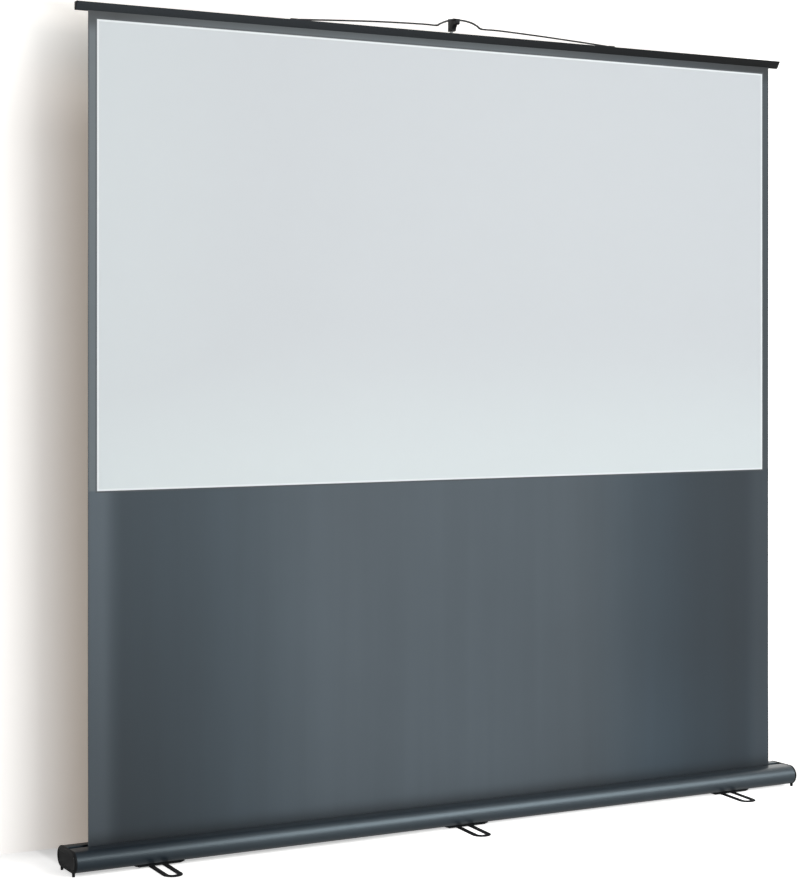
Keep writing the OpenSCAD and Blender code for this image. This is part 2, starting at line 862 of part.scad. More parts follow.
case_extrusion();
left_end_cap();
right_end_cap();
end_cap_screws();
left_roller_holder();
right_roller_holder();
idler_pin();
spring_shaft();
torsion_spring();
roller_tube();
idler_plug();
spring_plug();
wound_cloth();
left_foot_plate();
centre_foot_plate();
right_foot_plate();
foot_pivot_screws();
left_foot();
centre_foot();
right_foot();
mast_clevis();
clevis_screws();
mast_hinge_pin();
mast_foot_plug();
lower_tube();
lower_collar();
middle_bush();
middle_tube();
upper_collar();
upper_bush();
upper_tube();
mast_hook();
top_bar();
left_bar_cap();
right_bar_cap();
cloth_clamp_rod();
left_cord_anchor();
right_cord_anchor();
lift_cord();
grip_sleeve();
screen_cloth();
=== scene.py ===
# Pull-up projection screen: the looks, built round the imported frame. Metres, Z up, cloth at Y 0.
import json
import math

import bmesh
import bpy
import numpy as np
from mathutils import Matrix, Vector

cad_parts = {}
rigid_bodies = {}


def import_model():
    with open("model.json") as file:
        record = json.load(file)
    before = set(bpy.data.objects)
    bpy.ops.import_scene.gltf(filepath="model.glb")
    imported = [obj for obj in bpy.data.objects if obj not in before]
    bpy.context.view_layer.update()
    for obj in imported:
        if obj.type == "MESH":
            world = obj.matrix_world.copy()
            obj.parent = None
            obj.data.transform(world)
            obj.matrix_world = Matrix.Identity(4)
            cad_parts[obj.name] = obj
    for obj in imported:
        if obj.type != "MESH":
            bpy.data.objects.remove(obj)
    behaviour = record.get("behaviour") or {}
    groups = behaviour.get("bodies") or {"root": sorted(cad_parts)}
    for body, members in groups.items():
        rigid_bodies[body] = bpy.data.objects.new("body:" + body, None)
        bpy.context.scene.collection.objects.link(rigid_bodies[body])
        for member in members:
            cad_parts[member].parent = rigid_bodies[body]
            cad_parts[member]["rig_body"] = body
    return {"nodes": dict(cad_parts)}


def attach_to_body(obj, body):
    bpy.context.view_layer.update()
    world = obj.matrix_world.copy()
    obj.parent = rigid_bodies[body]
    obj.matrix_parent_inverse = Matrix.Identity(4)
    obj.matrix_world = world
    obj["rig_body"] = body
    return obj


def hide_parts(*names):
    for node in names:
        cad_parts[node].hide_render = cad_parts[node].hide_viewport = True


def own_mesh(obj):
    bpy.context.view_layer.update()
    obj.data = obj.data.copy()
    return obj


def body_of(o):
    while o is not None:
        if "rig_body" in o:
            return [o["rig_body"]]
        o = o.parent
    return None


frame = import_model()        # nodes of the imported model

scene = bpy.context.scene
nodes = frame["nodes"]
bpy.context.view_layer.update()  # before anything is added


# Objects and meshes

def linkPiece(name, data, *materials):
    for material in materials:
        data.materials.append(material)
    piece = bpy.data.objects.new(name, data)
    scene.collection.objects.link(piece)
    return piece


def stand(holder, place, turn):
    holder.location = place
    holder.rotation_euler = [math.radians(angle) for angle in turn]


def attach(piece, body, slot, *replaced):
    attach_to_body(piece, body)
    if replaced:
        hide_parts(*replaced)


def shadeBy(mesh, angle=35.0):
    mesh.shade_smooth()
    mesh.set_sharp_from_angle(angle=math.radians(angle))


def turnOutwards(mesh):
    shell = bmesh.new()
    shell.from_mesh(mesh)
    if shell.calc_volume(signed=True) < 0:
        bmesh.ops.reverse_faces(shell, faces=shell.faces)
    shell.to_mesh(mesh)
    shell.free()


def joinMeshes(piece, mesh):
    whole = bmesh.new()
    whole.from_mesh(piece.data)
    whole.from_mesh(mesh)
    whole.to_mesh(piece.data)
    whole.free()


def buildMesh(name, points, faces, corners=None):
    mesh = bpy.data.meshes.new(name)
    mesh.from_pydata([tuple(p) for p in points], [], faces)
    if corners is not None:
        layer = mesh.uv_layers.new(name="surfaceMap")
        layer.data.foreach_set("uv", np.array(corners, np.float32).ravel())
    mesh.validate()
    shadeBy(mesh)
    return mesh


def ringMesh(name, rings, cyclic=False):
    # rings of equally many points, joined one to the next, with end faces unless they close
    size = len(rings[0])
    spans = len(rings) if cyclic else len(rings) - 1
    along = [0.0]
    for a, b in zip(rings, rings[1:] + rings[:1]):
        along.append(along[-1] + (b[0] - a[0]).length)
    faces = []
    corners = []
    for i in range(spans):
        j = (i + 1) % len(rings)
        for k in range(size):
            m = (k + 1) % size
            faces.append((i * size + k, j * size + k, j * size + m, i * size + m))
            corners += [(k / size, along[i]), (k / size, along[i + 1]),
                        ((k + 1) / size, along[i + 1]), ((k + 1) / size, along[i])]
    if not cyclic:
        faces.append(tuple(range(size)))
        faces.append(tuple(spans * size + k for k in reversed(range(size))))
        corners += [(0.5, 0.0)] * size + [(0.5, along[spans])] * size
    mesh = buildMesh(name, [p for ring in rings for p in ring], faces, corners)
    turnOutwards(mesh)
    return mesh


def circleAngles(sides):
    return [2 * math.pi * k / sides for k in range(sides)]


# Camera, fitted to the corners of the white area
cameraView = {
    "lens": 84.6,
    "sensor": 36.0,
    "place": (-3.052, -5.188, 1.353),
    "turn": (90.0, 0.0, -28.84),
    "shift": -0.0971,
    "reach": 60.0,
}


def makeCamera(look):
    lens = bpy.data.cameras.new("studioCamera")
    lens.lens, lens.sensor_width = look["lens"], look["sensor"]
    lens.shift_y, lens.clip_end = look["shift"], look["reach"]
    scene.camera = linkPiece("studioCamera", lens)
    stand(scene.camera, look["place"], look["turn"])


makeCamera(cameraView)
print("camera: placed")


# Node helpers: a socket is linked, any other value is set, in the tree of the sockets

def rgb(red, green, blue):
    return (red, green, blue, 1.0)


def feed(node, sockets):
    for key, value in sockets.items():
        if isinstance(value, bpy.types.NodeSocket):
            node.id_data.links.new(value, node.inputs[key])
        else:
            node.inputs[key].default_value = value


def put(tree, kind, sockets=None, **settings):
    node = tree.nodes.new(kind)
    for key, value in settings.items():
        setattr(node, key, value)
    feed(node, sockets or {})
    return node


def treeOf(values):
    return next(value.id_data for value in values if isinstance(value, bpy.types.NodeSocket))


def calc(operation, *values):
    node = put(treeOf(values), "ShaderNodeMath", dict(enumerate(values)), operation=operation)
    return node.outputs[0]


def times(first, *others):
    for value in others:
        first = calc("MULTIPLY", first, value)
    return first


def dimmed(share, depth=1.0):
    # 1 where the share is none, 1 less the depth where it is full
    return calc("MULTIPLY_ADD", share, -depth, 1.0)


def within(area, factor):
    # the factor inside an area and 1 outside it
    return calc("MULTIPLY_ADD", calc("SUBTRACT", factor, 1.0), area, 1.0)


def ramp(value, low, high, toLow=0.0, toHigh=1.0):
    # smooth step from low to high
    return put(value.id_data, "ShaderNodeMapRange", {
        "Value": value, "From Min": low, "From Max": high, "To Min": toLow, "To Max": toHigh},
        interpolation_type="SMOOTHSTEP").outputs["Result"]


def blendColour(share, first, second, mode="MIX"):
    return put(treeOf((share, first, second)), "ShaderNodeMix", {0: share, 6: first, 7: second},
               data_type="RGBA", blend_type=mode).outputs[2]


def split(vector):
    return put(vector.id_data, "ShaderNodeSeparateXYZ", {0: vector}).outputs


def noise(vector, scale, detail, rough):
    return put(vector.id_data, "ShaderNodeTexNoise", {
        "Vector": vector, "Scale": scale, "Detail": detail, "Roughness": rough}).outputs[0]


def stretched(vector, scale):
    return put(vector.id_data, "ShaderNodeMapping", {"Vector": vector, "Scale": scale}).outputs[0]


def objectPlace(tree):
    return put(tree, "ShaderNodeTexCoord").outputs["Object"]


def surfaceMap(tree):
    return put(tree, "ShaderNodeUVMap", uv_map="surfaceMap").outputs[0]


# Shader node groups
groupLook = {
    "grainFine": (3.0, 0.6),  # detail and roughness of the noise
    "grainBroad": (4.0, 0.55),
    "grainMix": (0.4, 0.6),
    "grainTone": (0.3, 0.7),
    "wearRadius": 0.0007,
    "wearEdge": (0.995, 0.9),
    "wearNoise": (60.0, 5.0, 0.65),
    "wearPatches": (0.42, 0.62),
    "dustSlope": (0.55, 0.98),
    "dustNoise": (9.0, 6.0, 0.7),
    "dustPatches": (0.35, 0.75, 0.3, 1.0),
    "weaveSide": (-0.2, 0.2),
    "weaveGap": (0.5, 0.2),
}


def newGroup(name, given, made):
    tree = bpy.data.node_groups.new(name, "ShaderNodeTree")
    tree.interface.new_socket("Vector", in_out="INPUT", socket_type="NodeSocketVector")
    for side, labels in (("INPUT", given), ("OUTPUT", made)):
        for label in labels:
            tree.interface.new_socket(label, in_out=side, socket_type="NodeSocketFloat")
    return tree, tree.nodes.new("NodeGroupInput").outputs, tree.nodes.new("NodeGroupOutput")


def useGroup(group, vector, **sockets):
    return put(vector.id_data, "ShaderNodeGroup", {"Vector": vector, **sockets},
               node_tree=group).outputs


def makeGrain(look):
    tree, given, made = newGroup("fineGrain", ["Scale", "Patches"], ["Tone", "Height"])
    fine = noise(given["Vector"], given["Scale"], *look["grainFine"])
    broad = noise(given["Vector"], given["Patches"], *look["grainBroad"])
    mixed = calc("MULTIPLY_ADD", fine, look["grainMix"][0], times(broad, look["grainMix"][1]))
    feed(made, {"Tone": ramp(mixed, *look["grainTone"]), "Height": fine})
    return tree


def makeEdgeWear(look):
    tree, given, made = newGroup("edgeWear", ["Amount"], ["Mask"])
    rounded = put(tree, "ShaderNodeBevel", {"Radius": look["wearRadius"]}, samples=4).outputs[0]
    true = put(tree, "ShaderNodeNewGeometry").outputs["Normal"]
    meet = put(tree, "ShaderNodeVectorMath", {0: rounded, 1: true}, operation="DOT_PRODUCT")
    rubbed = noise(given["Vector"], *look["wearNoise"])
    feed(made, {"Mask": times(ramp(meet.outputs["Value"], *look["wearEdge"]),
                              ramp(rubbed, *look["wearPatches"]), given["Amount"])})
    return tree


def makeDust(look):
    tree, given, made = newGroup("settledDust", ["Amount"], ["Mask"])
    upward = split(put(tree, "ShaderNodeTexCoord").outputs["Normal"])["Z"]
    cloud = noise(given["Vector"], *look["dustNoise"])
    feed(made, {"Mask": times(ramp(upward, *look["dustSlope"]),
                              ramp(cloud, *look["dustPatches"]), given["Amount"])})
    return tree


def makeWeave(look):
    # over and under threads on a flat map, in metres
    tree, given, made = newGroup("wovenThreads", ["Threads"], ["Height", "Gap"])
    flat = split(given["Vector"])
    turn = times(given["Threads"], math.pi)
    waves = [calc("SINE", times(flat[axis], turn)) for axis in "XY"]
    warp, weft = (calc("ABSOLUTE", wave) for wave in waves)
    side = ramp(times(*waves), *look["weaveSide"])
    feed(made, {"Height": calc("ADD", times(warp, side), times(weft, dimmed(side))),
                "Gap": ramp(calc("MAXIMUM", warp, weft), *look["weaveGap"])})
    return tree


grainGroup = makeGrain(groupLook)
wearGroup = makeEdgeWear(groupLook)
dustGroup = makeDust(groupLook)
weaveGroup = makeWeave(groupLook)
print("shader groups: built")


def newMaterial(name):
    material = bpy.data.materials.new(name)
    material.use_nodes = True
    return material, material.node_tree, material.node_tree.nodes["Principled BSDF"]


def coat(shader, colour, height, rough, specular, depth, strength=1.0):
    bump = put(shader.id_data, "ShaderNodeBump", {
        "Height": height, "Strength": strength, "Distance": depth})
    feed(shader, {"Base Color": colour, "Roughness": rough, "Specular IOR Level": specular,
                  "Normal": bump.outputs[0]})


# Hard finishes. "stretch" draws the grain out along an axis, "bump" is in metres, "drawn" is how
# far the highlights of a part drawn along X are spread round it, "slope" is painted light and
# shade on its colour and "sheen" painted shade on its reflections, each from one place along X to
# another, and "neck" is bare metal under a height.
plainFinish = {
    "stretch": (1.0, 1.0, 1.0),
    "bump": 0.00001,
    "tone": 0.25,
    "wear": 0.6,
    "dust": 0.0,
    "dustTone": rgb(0.36, 0.35, 0.34),
    "dustRough": 0.3,
    "metallic": 0.0,
    "tint": rgb(1.0, 1.0, 1.0),
}
finishes = {
    "caseLacquer": {
        "colour": rgb(0.003, 0.008, 0.014), "worn": rgb(0.20, 0.22, 0.25),
        "rough": (0.33, 0.36), "specular": 0.70, "grain": 700.0, "patches": 4.0,
        "stretch": (0.15, 1.0, 1.0), "bump": 0.000012, "tone": 0.16, "wear": 0.4,
        "dust": 0.015, "drawn": 0.65, "tint": rgb(0.80, 0.93, 1.0),
        "sheen": (-1.15, -0.5, 0.55, 1.0)},
    "barLacquer": {
        "colour": rgb(0.014, 0.0165, 0.019), "worn": rgb(0.20, 0.20, 0.21),
        "rough": (0.40, 0.52), "specular": 0.15, "grain": 900.0, "patches": 4.0,
        "stretch": (0.15, 1.0, 1.0), "bump": 0.00002, "tone": 0.18, "wear": 0.35,
        "dust": 0.03, "slope": (-1.16, 1.16, 1.8, 0.15)},
    "capPlastic": {
        "colour": rgb(0.008, 0.009, 0.010), "worn": rgb(0.04, 0.04, 0.045),
        "rough": (0.55, 0.7), "specular": 0.10, "grain": 1100.0, "patches": 14.0,
        "bump": 0.00004, "tone": 0.2, "dust": 0.008},
    "footPlastic": {
        "colour": rgb(0.007, 0.007, 0.008), "worn": rgb(0.04, 0.04, 0.042),
        "rough": (0.5, 0.7), "specular": 0.12, "grain": 850.0, "patches": 11.0,
        "bump": 0.00008, "dust": 0.05},
    "hookPlastic": {
        "colour": rgb(0.007, 0.007, 0.008), "worn": rgb(0.05, 0.05, 0.05),
        "rough": (0.42, 0.56), "specular": 0.16, "grain": 1400.0, "patches": 30.0,
        "bump": 0.00004, "dust": 0.04, "neck": (2.299, 2.2985), "neckAside": (0.02, 0.019),
        "neckMetal": rgb(0.62, 0.63, 0.65)},
    "mastAlloy": {
        "colour": rgb(0.60, 0.61, 0.63), "worn": rgb(0.42, 0.42, 0.43),
        "rough": (0.24, 0.38), "specular": 0.5, "grain": 1500.0, "patches": 5.0,
        "stretch": (1.0, 1.0, 0.01), "tone": 0.14, "wear": 0.3, "metallic": 1.0},
    "zincSteel": {
        "colour": rgb(0.52, 0.52, 0.53), "worn": rgb(0.34, 0.33, 0.32), "rough": (0.3, 0.45),
        "specular": 0.5, "grain": 1800.0, "patches": 60.0, "wear": 0.5, "metallic": 1.0},
    "blackScrew": {
        "colour": rgb(0.02, 0.02, 0.022), "worn": rgb(0.22, 0.21, 0.20),
        "rough": (0.34, 0.46), "specular": 0.4, "grain": 1800.0, "patches": 60.0,
        "tone": 0.2, "wear": 0.7, "metallic": 0.5},
}


def makeFinish(name, look):
    material, tree, shader = newMaterial(name)
    place = objectPlace(tree)
    spot = split(place)
    grain = useGroup(grainGroup, stretched(place, look["stretch"]), Scale=look["grain"],
                     Patches=look["patches"])
    worn = useGroup(wearGroup, place, Amount=look["wear"])["Mask"]
    dust = useGroup(dustGroup, place, Amount=look["dust"])["Mask"]
    dark, light = ([c * (1 + change) for c in look["colour"][:3]] + [1.0]
                   for change in (-look["tone"], look["tone"]))
    colour = blendColour(grain["Tone"], dark, light)
    # painted light and shade: the colour lighter towards one end along X and darker towards the
    # other
    if "slope" in look:
        colour = blendColour(1.0, colour, ramp(spot["X"], *look["slope"]), "MULTIPLY")
    colour = blendColour(worn, colour, look["worn"])
    colour = blendColour(dust, colour, look["dustTone"])
    if "neck" in look:
        bare = times(ramp(spot["Z"], *look["neck"]),
                     ramp(calc("ABSOLUTE", spot["X"]), *look["neckAside"]))
        colour = blendColour(bare, colour, look["neckMetal"])
    rough = calc("MULTIPLY_ADD", dust, look["dustRough"],
                 ramp(grain["Tone"], 0.0, 1.0, *look["rough"]))
    specular = look["specular"]
    # painted shade: the reflections weaker towards the left end along X
    if "sheen" in look:
        specular = times(ramp(spot["X"], *look["sheen"]), specular)
    coat(shader, colour, grain["Height"], rough, specular, look["bump"])
    feed(shader, {"Metallic": look["metallic"], "Specular Tint": look["tint"]})
    if "drawn" in look:
        around = put(tree, "ShaderNodeTangent", direction_type="RADIAL", axis="X")
        feed(shader, {"Anisotropic": look["drawn"], "Tangent": around.outputs[0]})
    return material


finish = {name: makeFinish(name, {**plainFinish, **look}) for name, look in finishes.items()}
print("finishes:", len(finish))


# Cord and grip sleeve on top of the bar
cordLook = {
    "barTop": 2.285,
    "diameter": 0.0048,
    "sleeveDiameter": 0.0057,
    "sleeveBore": 0.0049,
    "sleeveRound": 0.0004,
    "sides": 16,
    "steps": 8,
    "sleeveFrom": 7,
    "sleeveTo": 18,
    "lieAxis": (0.0, 0.42, 0.91),  # how the loop drops on the bar when nothing holds it up
    "lieShare": 0.3,
    "yarn": rgb(0.012, 0.012, 0.013),
    "yarnLight": rgb(0.035, 0.035, 0.037),
    "plaits": 5.0,
    "plaitLean": 0.0016,
    "fluff": 0.3,
    "fluffGrain": {"Scale": 2600.0, "Patches": 40.0},
    "yarnCoat": {"rough": 0.85, "specular": 0.2, "depth": 0.0003},
    "yarnSheen": 0.2,
    "sleeve": rgb(0.014, 0.014, 0.015),
    "sleeveLight": rgb(0.024, 0.024, 0.025),
    "sleeveGrain": {"Scale": 1500.0, "Patches": 50.0},
    "sleeveRings": 3600.0,
    "sleeveRingShare": 0.12,
    "sleeveRough": (0.42, 0.6),
    "sleeveCoat": {"specular": 0.3, "depth": 0.00008},
}

# Route in millimetres above the bar's top, from the left anchor over the hook to the right one
cordRoute = [
    (-521, 0, 2.2), (-500, 0.3, 3.7), (-470, 0.6, 5.4), (-420, 1.2, 8.6), (-350, 2, 12.5),
    (-265, 2.4, 16.8), (-128, 3, 21), (-75, 4, 21.2), (-61, 7, 26.8), (-46, 10, 33.2),
    (-31, 13.2, 38.6), (-14, 16.2, 43.5), (0, 17, 44.6), (14, 16.4, 44), (27, 14.2, 42.9),
    (40, 11.6, 40.3), (52, 9, 36.2), (65, 6.4, 29.4), (79, 4, 21.4), (128, 3, 21.2),
    (200, 3, 18.9), (285, 2.2, 15.3), (370, 1.8, 11), (450, 1, 6.6), (521, 0, 2.2),
]


def makeCordBraid(look):
    material, tree, shader = newMaterial("cordBraid")
    flat = split(surfaceMap(tree))
    around = times(flat["X"], look["plaits"])
    along = calc("DIVIDE", flat["Y"], look["plaitLean"])
    twist = put(tree, "ShaderNodeCombineXYZ", {0: calc("ADD", around, along),
                                               1: calc("SUBTRACT", around, along)})
    braid = useGroup(weaveGroup, twist.outputs[0], Threads=1.0)["Height"]
    fluff = useGroup(grainGroup, objectPlace(tree), **look["fluffGrain"])["Tone"]
    # painted light and shade: the yarn lighter on the crowns of the plaits
    colour = blendColour(braid, look["yarn"], look["yarnLight"])
    colour = blendColour(times(fluff, look["fluff"]), colour, look["yarn"])
    coat(shader, colour, braid, **look["yarnCoat"])
    feed(shader, {"Sheen Weight": look["yarnSheen"]})
    return material


def makeSleeveRubber(look):
    material, tree, shader = newMaterial("sleeveRubber")
    grain = useGroup(grainGroup, objectPlace(tree), **look["sleeveGrain"])
    rings = calc("SINE", times(split(surfaceMap(tree))["Y"], look["sleeveRings"]))
    height = calc("MULTIPLY_ADD", rings, look["sleeveRingShare"], grain["Height"])
    coat(shader, blendColour(grain["Tone"], look["sleeve"], look["sleeveLight"]), height,
         ramp(grain["Tone"], 0.0, 1.0, *look["sleeveRough"]), **look["sleeveCoat"])
    return material


def smoothRoute(points, steps):
    line = []
    last = len(points) - 1
    for i in range(last):
        a, b, c, d = (points[max(i - 1, 0)], points[i], points[i + 1], points[min(i + 2, last)])
        for k in range(steps):
            t = k / steps
            line.append(0.5 * (2 * b + (c - a) * t + (2 * a - 5 * b + 4 * c - d) * t * t
                               + (3 * b - a - 3 * c + d) * t ** 3))
    line.append(points[last])
    return line


def ringAt(line, i, radius, sides):
    heading = (line[min(i + 1, len(line) - 1)] - line[max(i - 1, 0)]).normalized()
    across = heading.cross(Vector((0, 0, 1))).normalized()
    upward = across.cross(heading)
    return [line[i] + radius * (math.cos(a) * across + math.sin(a) * upward)
            for a in circleAngles(sides)]


def makeSleeve(look, held):
    sides, last = look["sides"], len(held) - 1
    outer, bore = look["sleeveDiameter"] / 2, look["sleeveBore"] / 2
    rings = [ringAt(held, i, outer, sides) for i in range(len(held))]
    for end, inwards in ((0, 1), (last, last - 1)):  # rounded ends
        slide = (held[inwards] - held[end]).normalized() * look["sleeveRound"]
        for share in (0.55, 1.0):
            drop = look["sleeveRound"] * (1 - math.sqrt(1 - share * share))
            shrunk = [p - slide * share for p in ringAt(held, end, outer - drop, sides)]
            rings = [shrunk] + rings if end == 0 else rings + [shrunk]
    rings += [ringAt(held, i, bore, sides) for i in reversed(range(len(held)))]
    return linkPiece("gripSleeve", ringMesh("gripSleeve", rings, True), makeSleeveRubber(look))


def makeCord(look):
    route = [Vector((x, y, z + 1000 * look["barTop"])) / 1000 for x, y, z in cordRoute]
    line = smoothRoute(route, look["steps"])
    rings = [ringAt(line, i, look["diameter"] / 2, look["sides"]) for i in range(len(line))]
    cord = linkPiece("liftCord", ringMesh("liftCord", rings), makeCordBraid(look))
    first, final = (look[key] * look["steps"] for key in ("sleeveFrom", "sleeveTo"))
    sleeve = makeSleeve(look, line[first:final + 1])
    for piece, node in ((cord, "lift_cord"), (sleeve, "grip_sleeve")):
        attach(piece, "bar", "cord", node)
        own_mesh(piece)


makeCord(cordLook)


# Geometry Nodes trees

def newTree(name, **given):
    tree = bpy.data.node_groups.new(name, "GeometryNodeTree")
    tree.interface.new_socket("Geometry", in_out="INPUT", socket_type="NodeSocketGeometry")
    for label, kind in {**given, "Finish": "Material"}.items():
        tree.interface.new_socket(label, in_out="INPUT", socket_type="NodeSocket" + kind)
    tree.interface.new_socket("Geometry", in_out="OUTPUT", socket_type="NodeSocketGeometry")
    return tree, tree.nodes.new("NodeGroupInput").outputs


def closeTree(tree, shape, given):
    real = put(tree, "GeometryNodeRealizeInstances", {0: shape})
    dressed = put(tree, "GeometryNodeSetMaterial", {"Geometry": real.outputs[0],
                                                    "Material": given["Finish"]})
    feed(tree.nodes.new("NodeGroupOutput"), {0: dressed.outputs[0]})
    return tree


def shapeOf(tree, socket):
    return put(tree, "GeometryNodeObjectInfo", {"Object": socket}).outputs["Geometry"]


def sweep(tree, path, section):
    return put(tree, "GeometryNodeCurveToMesh", {
        "Curve": path, "Profile Curve": section, "Fill Caps": True}).outputs[0]


def bakeTree(name, tree, start=None, **values):
    # runs a tree on a start mesh and leaves a plain mesh
    host = linkPiece(name, bpy.data.meshes.new(name) if start is None else start)
    modifier = host.modifiers.new(name, "NODES")
    modifier.node_group = tree
    for item in tree.interface.items_tree:
        if item.in_out == "INPUT" and item.name in values:
            modifier[item.identifier] = values[item.name]
    ready = host.evaluated_get(bpy.context.evaluated_depsgraph_get())
    mesh = bpy.data.meshes.new_from_object(ready)
    host.modifiers.remove(modifier)
    host.data = mesh
    mesh.name = name
    turnOutwards(mesh)
    shadeBy(mesh)
    return host


def makeSectionSweep():
    # a closed section drawn along a path, as an extrusion or a bent rail
    tree, given = newTree("sectionSweep", Path="Object", Section="Object")
    swept = sweep(tree, shapeOf(tree, given["Path"]), shapeOf(tree, given["Section"]))
    return closeTree(tree, swept, given)


def makeCoilWire():
    # an even coil about X, from a start point
    tree, given = newTree("coilWire", Radius="Float", Wire="Float", Length="Float",
                          Turns="Float", Start="Vector")
    coil = put(tree, "GeometryNodeCurveSpiral", {
        "Resolution": 24, "Rotations": given["Turns"], "Start Radius": given["Radius"],
        "End Radius": given["Radius"], "Height": given["Length"]})
    wire = put(tree, "GeometryNodeCurvePrimitiveCircle", {
        "Resolution": 10, "Radius": given["Wire"]})
    laid = put(tree, "GeometryNodeTransform", {
        "Geometry": sweep(tree, coil.outputs[0], wire.outputs[0]),
        "Translation": given["Start"], "Rotation": (0.0, math.pi / 2, 0.0)})
    return closeTree(tree, laid.outputs[0], given)


def makeFastenerRow():
    # one fastener at each point of the start mesh, along its "facing", each turned by chance
    tree, given = newTree("fastenerRow", Fastener="Object", Spin="Float", Seed="Int")
    facing = put(tree, "GeometryNodeInputNamedAttribute", {"Name": "facing"},
                 data_type="FLOAT_VECTOR")
    aligned = put(tree, "FunctionNodeAlignRotationToVector", {"Vector": facing.outputs[0]},
                  axis="Z")
    chance = put(tree, "FunctionNodeRandomValue", {
        "Max": given["Spin"], "Seed": given["Seed"]}, data_type="FLOAT")
    about = put(tree, "FunctionNodeAxisAngleToRotation", {
        "Axis": (0.0, 0.0, 1.0), "Angle": chance.outputs[1]})
    turned = put(tree, "FunctionNodeRotateRotation", {
        "Rotation": aligned.outputs[0], "Rotate By": about.outputs[0]}, rotation_space="LOCAL")
    placed = put(tree, "GeometryNodeInstanceOnPoints", {
        "Points": given["Geometry"], "Instance": shapeOf(tree, given["Fastener"]),
        "Rotation": turned.outputs[0]})
    return closeTree(tree, placed.outputs[0], given)


def makeDashRow():
    # short dashes, one after the other along a path
    tree, given = newTree("dashRow", Path="Object", Pitch="Float", Size="Vector",
                          MapSize="Float")
    spots = put(tree, "GeometryNodeCurveToPoints", {
        "Curve": shapeOf(tree, given["Path"]), "Length": given["Pitch"]}, mode="LENGTH")
    dash = put(tree, "GeometryNodeMeshCube", {"Size": given["Size"]})
    placed = put(tree, "GeometryNodeInstanceOnPoints", {
        "Points": spots.outputs[0], "Instance": dash.outputs[0]})
    real = put(tree, "GeometryNodeRealizeInstances", {0: placed.outputs[0]})
    place = split(put(tree, "GeometryNodeInputPosition").outputs[0])
    flat = put(tree, "ShaderNodeCombineXYZ", {
        "X": calc("ADD", calc("DIVIDE", place["X"], given["MapSize"]), 0.5),
        "Y": calc("DIVIDE", place["Z"], given["MapSize"])})
    mapped = put(tree, "GeometryNodeStoreNamedAttribute", {
        "Geometry": real.outputs[0], "Name": "surfaceMap", "Value": flat.outputs[0]},
        data_type="FLOAT2", domain="CORNER")
    return closeTree(tree, mapped.outputs[0], given)


sectionSweep = makeSectionSweep()
dashRow = makeDashRow()
coilWire = makeCoilWire()
fastenerRow = makeFastenerRow()


def drawCurve(name, points, closed):
    curve = bpy.data.curves.new(name, "CURVE")
    curve.dimensions = "3D"
    line = curve.splines.new("POLY")
    line.points.add(len(points) - 1)
    for spot, place in zip(line.points, points):
        spot.co = (*place, 1.0)
    line.use_cyclic_u = closed
    return linkPiece(name, curve)


def roundCorners(points, radii, steps=4):
    # a closed outline with each corner turned on its own radius
    outline = []
    count = len(points)
    for i, radius in enumerate(radii):
        spot = Vector(points[i])
        before, after = Vector(points[i - 1]) - spot, Vector(points[(i + 1) % count]) - spot
        if radius == 0:
            outline.append(tuple(spot))
            continue
        u, v = before.normalized(), after.normalized()
        half = math.acos(max(-1.0, min(1.0, u.dot(v)))) / 2
        centre = spot + (u + v).normalized() * radius / math.sin(half)
        start = spot + u * radius / math.tan(half) - centre
        end = spot + v * radius / math.tan(half) - centre
        for k in range(steps + 1):
            outline.append(tuple(centre + radius * start.slerp(end, k / steps)))
    return outline


def sweepPiece(name, path, closed, section, material):
    # section points are (outwards, up) from the path; for a path along X outwards is to the back
    turned = 1.0 if closed else -1.0
    shape = drawCurve(name + "Section", [(turned * a, -b, 0.0) for a, b in section], True)
    guide = drawCurve(name + "Path", path, closed)
    piece = bakeTree(name, sectionSweep, Path=guide, Section=shape, Finish=material)
    for helper in (shape, guide):
        bpy.data.curves.remove(helper.data)
    return piece


# Screen cloth: one stretched sheet from the roller to the clamp in the bar
clothLook = {
    "width": 2.264,
    "low": 0.0365,
    "high": 2.2682,
    "thickness": 0.0005,
    "columns": 112,
    "rows": 120,
    "waveMean": 0.0009,
    "waveDepth": 0.0020,
    "waveBroad": (0.62, 3.4, 0.12),
    "waveFine": (0.38, 7.3, 0.9, 0.5),
    "edgeCurl": 0.0016,
    "curlReach": 0.012,
    "holdLow": (0.075, 0.42),
    "holdHigh": (0.45, 0.85),
    "barLow": 2.262,
    "loweredBy": 2.201,  # travel of the bar
    "pictureHalf": 1.107,
    "pictureLow": 0.998,
    "pictureHigh": 2.243,
    "weldHigh": 0.998,
    "weldLow": 0.959,
    "weldRise": 0.0004,
    "weldSink": 0.0001,
    "weldRows": 4,
    "dashPitch": 0.0085,
    "dashSize": (0.0052, 0.0003, 0.0014),
    "dashLevels": (0.9625, 0.9665, 0.9905, 0.9945),
    "dashEnd": 1.126,
    "dashWaveSteps": 60,
    "mapSize": 2.5,
}

